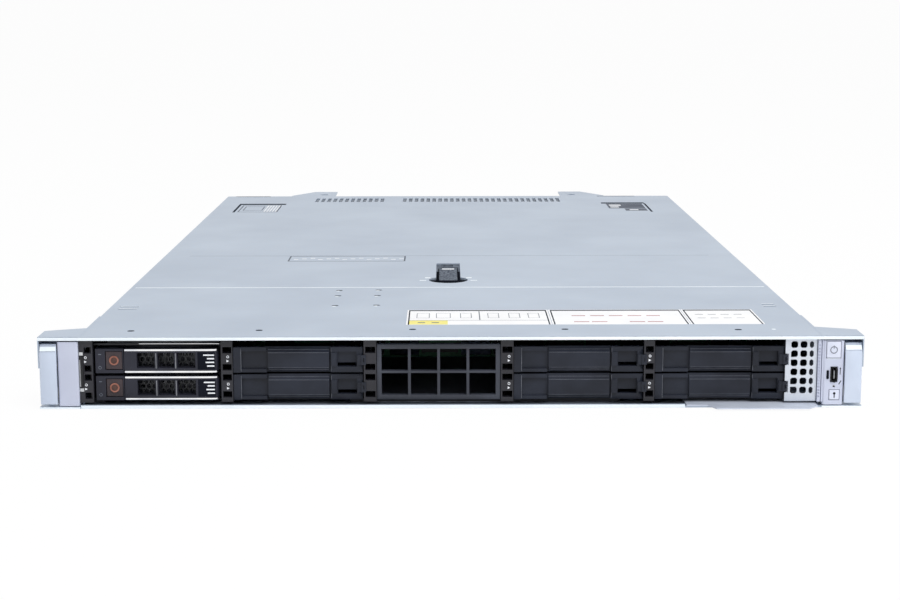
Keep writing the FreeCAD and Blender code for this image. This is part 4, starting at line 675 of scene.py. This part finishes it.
def lay_dots(top, film):
    """Small things on the top panel: rivets that stand a little proud, coloured as painted highlights, short
    painted highlights on the dents by its sides, painted shade behind the rivets, and dark films of painted
    shade for the holes near the front."""
    rivets = [(-75.2, 160.3), (-74.8, 139), (-74.5, 102.2), (-48.6, 161.6), (-48.7, 139.8), (-47.9, 103.3),
              (192, 21.5)]
    head, proud = 1.3, 0.09
    heads = [button_form(circle(head, 12), (x, y, 0), top - 0.1, top + proud, proud, lying)
             for x, y in rivets]
    stroke = 1.3
    strokes = [(x0, x1, y, y + stroke, top - 0.01, top + film) for x0, x1, ys in
               ((-211, -199, (94.7, 102.7)), (200, 208, (100.7, 107.7))) for y in ys]
    # The rivet heads and the short strokes are painted highlights.
    piece("panel_rivet_highlights", joined(tiles(strokes), *heads), "pressed_edge_highlight", CHASSIS)
    sunk, edge = 0.05, 0.02
    rivet_shades = [button_form(outline(4.4, 2.4, 1.1), (x + 0.6, y + 2.6, 0), top - sunk, top + film, edge, lying)
            for x, y in rivets[:6]]
    holes = [(-189.8, 20), (-113.9, 21.4), (-22.8, 23.3), (67.9, 22.9), (170.7, 20.5)]
    hole_shades = [button_form(outline(4.2, 3.4, 1.5), (x, y, 0), top - sunk, top + film, edge, lying)
             for x, y in holes]
    # The dark films are painted shade behind the rivets and in the holes.
    piece("panel_hole_shade", joined(*rivet_shades, *hole_shades), "dark_screen_print", CHASSIS)


def lay_service_labels(film, line):
    """Three plain white labels side by side on the top panel, with borders, rules, empty frames, a
    yellow strip and rows of dashes, each layer half a film above the last."""
    top = edges_of("front_top_panel")[1].z
    near, far = 38, 88
    sheets = [(x0, x1, near, far) for x0, x1 in ((-27, 61.2), (61.6, 145), (145.4, 190))]
    lay("service_labels", sheets, top, film, "white_polyester_label")
    over, ink = top + film, film / 2
    margin, head = 1, 4
    borders = []
    for x0, x1, y0, y1 in sheets:
        borders += [(x0 + margin, x1 - margin, y1 - head, y1 - margin),
                    (x0 + margin, x0 + margin + line, y0, y1 - head),
                    (x1 - margin - line, x1 - margin, y0, y1 - head)]
    lay("label_borders", borders, over, ink, "dark_screen_print")
    rules = [(17.6, 18.2, 53, 83), (-25, 59, 51.8, 52.4)]
    for x, wide in ((-21, 8), (-9, 9), (6, 7), (23, 7), (36, 7), (48, 7)):
        rules += framed(x, x + wide, 60, 76, 0.4)
    lay("label_rules", rules, over, ink, "grey_screen_print")
    lay("yellow_strip", [(-25.8, -1.8, 38.4, 51.6)], over, ink, "yellow_label_film")
    marks = [(x, x + 4.4, 43.6, 45.6) for x in (-20, -11.6)]
    lay("strip_marks", marks, over + ink, ink, "grey_screen_print")
    pitch, dash = 11.6, 1.8
    dashes = [(75 + pitch * i, 83.4 + pitch * i, 66, 66 + dash) for i in range(5)]
    dashes += [(x, x + 9.4, 45.8, 45.8 + dash) for x in (75, 86, 109, 120)]
    lay("label_dashes", dashes, over, ink, "red_screen_print")
    pitch, dash = 8, 1
    dashes = [(152 + pitch * i, 157 + pitch * i, y, y + dash) for i in range(4) for y in (58, 70)]
    lay("small_label_dashes", dashes, over, ink, "grey_screen_print")
    lay_dots(top, film)


def lay_cover_prints(film):
    """Printed frames on the cover: a strip of strokes before the latch, two plain blocks at the rear corners,
    and a painted highlight along a seam and painted shade along a crease that run across it."""
    top = edges_of("top_cover")[1].z
    pitch, wide, tall, step = 6.1, 3.4, 2.6, 3
    strokes = []
    for i in range(14):
        x, y = -117 + pitch * i, 302 + step * (i % 3)
        strokes.append((x, x + wide, y, y + tall))
    lay("cover_label_frame", framed(-121, -33, 294, 320, 1.1), top, film, "grey_screen_print", COVER)
    lay("cover_label_strokes", strokes, top, film, "pale_screen_print", COVER)
    borders = [(-209, -175, 720.4, 721.8), (147, 184, 720.4, 721.8), (-198, -154, 652, 660),
               (-198, -196, 594, 652), (146, 187, 658, 666), (186, 187.8, 594, 658)]
    lay("rear_borders", borders, top, film, "dark_screen_print", COVER)
    prints = framed(-193.6, -157, 596, 648, 1.0) + framed(-190, -172, 608, 638, 0.8)
    prints += [(150, 184, 620, 656), (164, 184, 602, 618)]
    lay("rear_prints", prints, top, film, "grey_screen_print", COVER)
    pitch, wide = 2.6, 1.4
    hatch = [(-170 + pitch * i, -170 + wide + pitch * i, 598, 646) for i in range(5)]
    hatch += [(152, 163, 640, 648), (152, 160, 626, 634), (168, 176, 606, 612)]
    lay("rear_hatch", hatch, top + film, film, "pale_screen_print", COVER)
    # A painted highlight along a seam, and painted shade along a crease.
    lay("cover_seam_highlight", [(-214, 214, 174.3, 176.2)], top, film, "pressed_edge_highlight", COVER)
    lay("cover_crease_shade", [(-198, 198, 321.2, 322.6)], top, film / 2, "pressed_crease", COVER)


class SERVER_OT_lay_labels(bpy.types.Operator):
    """Lay the plain labels and printed frames on the top panel and the cover"""
    bl_idname = "server.lay_labels"
    bl_label = "Lay the labels"

    def execute(self, context):
        sizes = context.scene.server_sizes
        lay_service_labels(sizes.film, sizes.print_line)
        lay_cover_prints(sizes.film)
        return {"FINISHED"}


def bay_mark(x, front, height, film):
    """The printed mark of a bay: a small ring, and an arrowhead below it that points to the right."""
    ring = ring_form(0.62, 0.36, (x, front, height + 0.6))
    side = 1.5
    corners = np.array([[-side / 2, side / 2], [-side / 2, -side / 2], [side / 2, 0]])
    arrow = np.stack([standing(corners, depth) for depth in (front - film, front + 0.1)])
    return joined(ring, loft(arrow + np.array([x, 0, height - 1.9])))


class SERVER_OT_mark_controls(bpy.types.Operator):
    """The power symbol, the identity mark and the indicator marks of the right-hand panel and bays"""
    bl_idname = "server.mark_controls"
    bl_label = "Mark the controls"

    def execute(self, context):
        film = context.scene.server_sizes.film
        sunk = 0.1
        low, high = edges_of("power_button")
        x, z = (low.x + high.x) / 2, (low.z + high.z) / 2
        stem = tiles([(x - 0.25, x + 0.25, low.y - film, low.y + sunk, z + 0.8, z + 2.6)])
        piece("power_symbol", joined(ring_form(1.95, 0.5, (x, low.y, z)), stem), "grey_screen_print",
              "power_key", True)
        low, high = edges_of("id_button")
        x, z = (low.x + high.x) / 2, (low.z + high.z) / 2
        dot = button_form(circle(0.75), (x, 0, z + 0.9), low.y + sunk, low.y - film, 0.02)
        stem = tiles([(x - 0.3, x + 0.3, low.y - film, low.y + sunk, z - 1.7, z + 0.4)])
        piece("identity_mark", joined(dot, stem), "black_film_patch", "id_key")
        face = edges_of("drive_cage")[0].y
        column = edges_of("left_light_column")[0].y
        rows = (13.3, 29.6)
        marks = [bay_mark(x, front, height, film)
                 for x, front in ((-130.8, face), (34, face), (116.6, face), (-213.8, column))
                 for height in rows]
        piece("bay_marks", joined(*marks), "pale_screen_print", CHASSIS)
        return {"FINISHED"}


def flat_mark(corners, depth, film):
    """A closed flat shape on a front face: its corners in X and Z, set just proud of the face."""
    flat = np.array(corners, float)
    return loft(np.stack([standing(flat, depth + 0.1), standing(flat, depth - film)]))


class SERVER_OT_dress_port(bpy.types.Operator):
    """The port's rim and tongue, the dark status window, and the small printed marks beside them"""
    bl_idname = "server.dress_port"
    bl_label = "Dress the port"

    def execute(self, context):
        film = context.scene.server_sizes.film
        low, high = edges_of("usb_c_port")
        centre = ((low.x + high.x) / 2, 0, (low.z + high.z) / 2)
        wide, tall = high.x - low.x, high.z - low.z
        outer, inner, back, proud = 0.6, 0.1, 0.3, -0.06
        rings = [standing(outline(wide + grow, tall + grow, 1.6 + grow / 2), depth)
                 for grow, depth in ((outer, back), (outer, proud), (inner, proud), (inner, back))]
        piece("port_rim", loft(np.stack(rings) + np.array(centre), closed=True), "black_rubber_seal",
              CHASSIS)
        tongue = button_form(outline(0.7, 4.8, 0.3), centre, 0.35, 0.05, 0.05)
        piece("port_tongue", tongue, "die_cast_aluminium", CHASSIS, True)
        front = edges_of("right_control_panel")[0].y
        window = button_form(outline(1.3, 5.1, 0.3), (220.4, 0, 19.6), 0.12, front - film, 0.02)
        triangle = flat_mark([(223.6, 12.1), (224.8, 12.1), (224.2, 13.3)], front, film)
        bar = flat_mark([(226.8, 13.9), (227.2, 13.6), (228.6, 15.9), (228.2, 16.2)], front, film)
        fork = flat_mark([(227.5, 19.6), (227.9, 19.6), (227.9, 23), (227.5, 23)], front, film)
        dot = flat_mark([(227.2, 23), (228.2, 23), (227.7, 24)], front, film)
        piece("panel_marks", joined(window, triangle, bar, fork, dot), "black_film_patch", CHASSIS)
        low, high = edges_of("power_button")
        line = tiles([(low.x + 0.3, high.x - 0.3, front - 0.06, front + 0.05, low.z - 0.62, low.z - 0.34)])
        piece("button_highlight", line, "pressed_edge_highlight", CHASSIS)
        return {"FINISHED"}


def beside(inner, wide, side):
    """The X range of a strip on one side of the server, -1 for left and 1 for right, that starts at
    a distance from the middle and reaches outward."""
    return tuple(sorted((inner * side, inner * side + wide * side)))


def bright_bead_highlights():
    """Half-round beads carried across the front, coloured as painted highlights: along the hem of the top,
    the tray's lip, and the feet of both ears."""
    ear, ear_root = 240.8, 217.3
    beads = []
    for left, right, low, high in ((-ear, ear, 40.75, 42.6), (-216.7, 137.2, 0.15, 2.1),
                                   (-ear, -ear_root, 0.1, 1.1), (ear_root, ear, 0.1, 1.1)):
        middle = (low + high) / 2
        beads.append(swept(outline(0.24, high - low, 0.11, 3), [(left, 0, middle), (right, 0, middle)],
                           (0, 0, 1)))
    return joined(*beads)


def notch_fillers():
    """Small plates at the ends of the vent panel's notches, one notch for each row of bays: as tall
    as the notch at the left, and as narrow as the web between two holes at the right."""
    face = edges_of("front_vent_panel")[0].y
    sheet, tall = 0.8, 7
    left, neck, right = 197.9, 199.1, 200.6
    plates = []
    for foot in (8.4, 24.7):
        plates += [(left, neck, face, face + sheet, foot, foot + tall),
                   (neck, right, face, face + sheet, foot + 3.4, foot + 4.85)]
    return tiles(plates)


def lever_bevel_highlight(side):
    """A painted highlight: a bright film up the sloping edge at the head of a lever, the same all across it.
    """
    low, high = edges_of(side + "_latch_lever")
    margin = 0.25
    foot, head, thick = np.array([[-0.17, 34.6], [1.12, 37.1], [0.1, -0.05]])
    slope = np.array([foot, head, head + thick, foot + thick])
    ends = [np.stack([np.full(4, x), slope[:, 0], slope[:, 1]], axis=1)
            for x in (low.x + margin, high.x - margin)]
    return loft(np.stack(ends))


class SERVER_OT_edge_front(bpy.types.Operator):
    """The roof seams and the vent panel's fillers, painted highlights on the beads of the front, the levers'
    bevels and the cage's bar, and painted shade beside the levers and the light column
    """
    bl_idname = "server.edge_front"
    bl_label = "Edge the front"

    def execute(self, context):
        # Painted highlights along the hem, the tray's lip and the ears' feet.
        piece("front_bead_highlights", bright_bead_highlights(), "pressed_edge_highlight", CHASSIS, True)
        roofs = [(*beside(216.4, 1.4, side), 0.1, 67.8, 42.66, 42.76) for side in (-1, 1)]
        piece("roof_seams", tiles(roofs), "galvanised_sheet_steel", CHASSIS)
        piece("vent_edge", notch_fillers(), "zinc_plated_bracket", CHASSIS)
        for side in ("left", "right"):
            # Painted highlights on the levers' bevels.
            piece(side + "_lever_bevel_highlight", lever_bevel_highlight(side), "pressed_edge_highlight", side + "_lever")
        # A bright strip along the cage's bar: a painted highlight.
        bar = edges_of("drive_cage")[1].z - 1.9
        piece("cage_bar_highlight", tiles([(-183, -136, 6.92, 7.02, bar - 0.3, bar - 0.02)]),
              "bright_rolled_edge", CHASSIS)
        # Dark strips, painted shade in the gaps beside the levers and the light column.
        gap_shades = [(*beside(229.82, 0.4, side), 1.5, 19.5, 3.2, 38.2) for side in (-1, 1)]
        column_gap_shade = (-216.6, -215.05, 1.2, 2.1, 12.6, 31)
        piece("lever_gap_shade", tiles(gap_shades + [column_gap_shade]), "black_rubber_seal", CHASSIS)
        return {"FINISHED"}


class SERVER_OT_dress_blanks(bpy.types.Operator):
    """Painted highlights along the ribs of the drive blanks and up both ends of their faces"""
    bl_idname = "server.dress_blanks"
    bl_label = "Dress the drive blanks"

    def execute(self, context):
        half, sunk, deep = 0.09, 0.05, 0.3
        ribs = ((13.5, 1.43), (11.9, 0.08), (2.9, 0.1), (1.5, 1.38))
        for name in NODE_FINISH["charcoal_glass_filled_nylon"]:
            low = edges_of(name)[0]
            face = low.y + 1.4
            start, end = low.x + 20.6, low.x + 56.1
            foot, head = low.z + 0.6, low.z + 14.4
            lines = [(start, end, face + back - sunk, face + back + deep, low.z + height - half,
                      low.z + height + half) for height, back in ribs]
            lines += [(low.x + 4.5, low.x + 4.75, face - 0.05, face + 0.6, foot, head),
                      (low.x + 57.4, low.x + 57.6, face + 0.55, face + 0.7, foot, head)]
            body = name.replace("drive_", "")
            # Painted highlights along the ribs and up the ends of the face.
            piece(name + "_edges", tiles(lines), "worn_charcoal_edge", body)
        return {"FINISHED"}


def latch_crescent(middle, base, top):
    """Painted shade in the gap in front of the latch: a dark film of half an ellipse, closed by a short
    straight band.
    """
    half, reach, band = 13.6, 5.2, 1.4
    turn = np.linspace(0, math.pi, 17)
    near = np.stack([np.cos(turn) * half, -reach * np.sin(turn)], axis=1)
    flat = np.concatenate([near, [[-half, band], [half, band]]])
    shape = np.stack([lying(flat, height) for height in (base, top)])
    return loft(shape + np.array([middle, 205.8, 0]))


def latch_glints(middle):
    """Painted highlights on the cover at both sides of the latch's front, two at each side."""
    base, top = 42.7, 42.76
    spots = []
    for near, far, y0, y1 in ((12.6, 16.4, 214, 217.5), (15.4, 20, 203, 205.5)):
        spots += [(middle - far, middle - near, y0, y1, base, top),
                  (middle + near, middle + far, y0, y1, base, top)]
    return tiles(spots)


def vent_gauze(under):
    """Crossed wires under the two rows of vents: those across lie on those along."""
    near, far = 672, 705
    wires = []
    for x0, x1 in ((-130, -60), (-46, 112)):
        wires += [(x0, x1, y, y + 0.5, under - 0.55, under - 0.05) for y in np.arange(near + 0.4, far, 1.5)]
        wires += [(x, x + 0.4, near, far + 0.4, under - 0.75, under - 0.35) for x in np.arange(x0, x1, 2.85)]
    return tiles(wires)


class SERVER_OT_dress_latch(bpy.types.Operator):
    """Painted shade in the gaps around the cover latch, painted highlights on the cover beside it, a pale
    strip on the latch, and the gauze under the vents
    """
    bl_idname = "server.dress_latch"
    bl_label = "Dress the latch and the vents"

    def execute(self, context):
        film = context.scene.server_sizes.film
        sunk = 0.1
        low, high = edges_of("cover_latch")
        middle, top = (low.x + high.x) / 2, high.z
        cup = edges_of("cover_latch_housing")[1].z
        piece("latch_crescent", latch_crescent(middle, cup - sunk, cup + film), "black_film_patch", COVER)
        # Dark films at both sides of the latch, painted shade in its side gaps. The left gap lies where the
        # channel of the housing has no wall.
        gap, half = 7.4, 0.9
        gaps = [(middle + x - half, middle + x + half, 207, 246, cup - sunk, cup + film) for x in (-gap, gap)]
        piece("latch_side_gap_shade", tiles(gaps), "black_film_patch", COVER)
        # Painted highlights beside the latch.
        piece("latch_glints", latch_glints(middle), "pressed_edge_highlight", COVER)
        # A pale strip across the rear of the latch's top.
        slot = [(middle - 4.4, middle + 4.4, 258.6, 263, top - sunk, top + film)]
        piece("latch_pale_strip", tiles(slot), "pale_screen_print", "latch")
        sheet = 1.0
        piece("vent_gauze", vent_gauze(edges_of("top_cover")[1].z - sheet), "grey_gauze", COVER)
        return {"FINISHED"}


class SERVER_OT_dress_rear(bpy.types.Operator):
    """The guards of the power supplies' fans and their indicator lenses"""
    bl_idname = "server.dress_rear"
    bl_label = "Dress the back"

    def execute(self, context):
        back = edges_of("top_cover")[1].y
        wire = 0.9
        for number in (1, 2):
            body = f"supply_{number}"
            low, high = edges_of(f"power_supply_{number}")
            centre = (low.x + 44, back - wire, (low.z + high.z) / 2)
            rings = [ring_form(radius, wire, centre) for radius in (3.5, 6.5, 9.5, 12)]
            piece(f"supply_{number}_guard", joined(*rings), "nickel_plated_shell", body, True)
            lens = button_form(outline(3, 3, 0.8), (low.x + 52, 0, high.z - 5), back - 0.2, back + 0.3, 0.2)
            piece(f"supply_{number}_lens", lens, "acrylic_light_pipe", body, True)
        return {"FINISHED"}


class SERVER_OT_set_stage(bpy.types.Operator):
    """Floor, even light from all round, two soft lights, and the camera"""
    bl_idname = "server.set_stage"
    bl_label = "Set the stage"

    def execute(self, context):
        look = context.scene.server_look
        make_floor(look)
        make_sky(look)
        make_light("key_light", place=(0.8, -1.6, 1.8), size=1.6, power=look.key_power)
        make_light("top_light", place=(0.3, -0.2, 2.6), size=2.6, power=look.top_power)
        make_camera(look)
        context.scene.view_settings.view_transform = "Standard"
        return {"FINISHED"}


def seen_directly(tree):
    """1 for rays that come from the camera, a reflection or a refraction, and 0 for all others."""
    path = node(tree, "LightPath")
    first = node(tree, "Math", {0: path.outputs["Is Camera Ray"], 1: path.outputs["Is Glossy Ray"]},
                 operation="MAXIMUM")
    both = node(tree, "Math", {0: first.outputs[0], 1: path.outputs["Is Transmission Ray"]},
                operation="MAXIMUM")
    return both.outputs[0]


def make_floor(look):
    """A pale floor: nearly white where it is seen, with a faint shadow under the server."""
    mesh = bpy.data.meshes.new("floor")
    side = 150.0
    under = -0.0004
    seen_white = 0.96
    mesh.from_pydata([(-side, -side, under), (side, -side, under), (side, side, under), (-side, side, under)],
                     [], [(0, 1, 2, 3)])
    floor = bpy.data.objects.new("floor", mesh)
    bpy.context.scene.collection.objects.link(floor)
    material = bpy.data.materials.new("matt_white_floor")
    material.use_nodes = True
    tree = material.node_tree
    tree.nodes.clear()
    matt = node(tree, "BsdfDiffuse", {"Color": linear(look.floor_colour)})
    glow = node(tree, "Emission", {"Color": (1, 1, 1, 1), "Strength": 1.0})
    share = node(tree, "Math", {0: seen_directly(tree), 1: seen_white}, operation="MULTIPLY")
    both = node(tree, "MixShader", {0: share.outputs[0], 1: matt.outputs[0], 2: glow.outputs[0]})
    node(tree, "OutputMaterial", {"Surface": both.outputs[0]})
    mesh.materials.append(material)


def make_sky(look):
    """White where it is seen or mirrored, and an even softer light everywhere else."""
    world = bpy.data.worlds.new("studio")
    bpy.context.scene.world = world
    world.use_nodes = True
    tree = world.node_tree
    tree.nodes.clear()
    even = node(tree, "Background", {"Color": (0.97, 0.985, 1, 1), "Strength": look.sky})
    white = node(tree, "Background", {"Color": (1, 1, 1, 1), "Strength": 1.0})
    both = node(tree, "MixShader", {0: seen_directly(tree), 1: even.outputs[0], 2: white.outputs[0]})
    node(tree, "OutputWorld", {"Surface": both.outputs[0]})


def make_light(name, place, size, power):
    """A square soft light that looks at the middle of the server, and isn't mirrored in its sheets."""
    light = bpy.data.lights.new(name, "AREA")
    light.size = size
    light.energy = power
    item = bpy.data.objects.new(name, light)
    item.location = place
    item.rotation_euler = (Vector((0, 0, 0)) - Vector(place)).to_track_quat("-Z", "Y").to_euler()
    item.visible_glossy = False
    bpy.context.scene.collection.objects.link(item)


def make_camera(look):
    """The camera: a metre in front of the ears and a little above, looking slightly down."""
    place = (-0.00407, -1.38143, 0.23897)
    yaw, down, roll = math.radians(0.1998), math.radians(9.8978), math.radians(-0.0787)
    lens = bpy.data.cameras.new("camera")
    lens.lens = look.lens
    lens.sensor_width = 36
    lens.clip_start = 0.01
    item = bpy.data.objects.new("camera", lens)
    turn = Matrix.Rotation(-yaw, 4, "Z") @ Matrix.Rotation(math.pi / 2 - down, 4, "X") \
        @ Matrix.Rotation(roll, 4, "Z")
    item.matrix_world = Matrix.Translation(place) @ turn
    bpy.context.scene.collection.objects.link(item)
    bpy.context.scene.camera = item


class SERVER_PT_panel(bpy.types.Panel):
    """Lists the steps in order."""
    bl_label = "Rack server"
    bl_idname = "SERVER_PT_panel"
    bl_space_type = "VIEW_3D"
    bl_region_type = "UI"
    bl_category = "Server"

    def draw(self, context):
        for group in (context.scene.server_sizes, context.scene.server_look):
            for name in group.bl_rna.properties.keys():
                if name not in ("rna_type", "name"):
                    self.layout.prop(group, name)
        for step in STEPS:
            self.layout.operator(step.bl_idname)


STEPS = (SERVER_OT_finish_solids, SERVER_OT_soften_mouldings, SERVER_OT_trim_carriers, SERVER_OT_lay_labels,
         SERVER_OT_mark_controls, SERVER_OT_dress_port, SERVER_OT_edge_front, SERVER_OT_dress_blanks,
         SERVER_OT_dress_latch, SERVER_OT_dress_rear, SERVER_OT_set_stage)
CLASSES = (ServerSizes, ServerLook) + STEPS + (SERVER_PT_panel,)


def register():
    """Make the classes and the two groups of settings known to the program."""
    for kind in CLASSES:
        bpy.utils.register_class(kind)
    bpy.types.Scene.server_sizes = PointerProperty(type=ServerSizes)
    bpy.types.Scene.server_look = PointerProperty(type=ServerLook)


def unregister():
    """Take the settings and the classes away again."""
    del bpy.types.Scene.server_look
    del bpy.types.Scene.server_sizes
    for kind in reversed(CLASSES):
        bpy.utils.unregister_class(kind)


def main():
    """Run every step in order."""
    register()
    for step in STEPS:
        area, name = step.bl_idname.split(".")
        getattr(getattr(bpy.ops, area), name)()


if __name__ == "__main__":
    main()
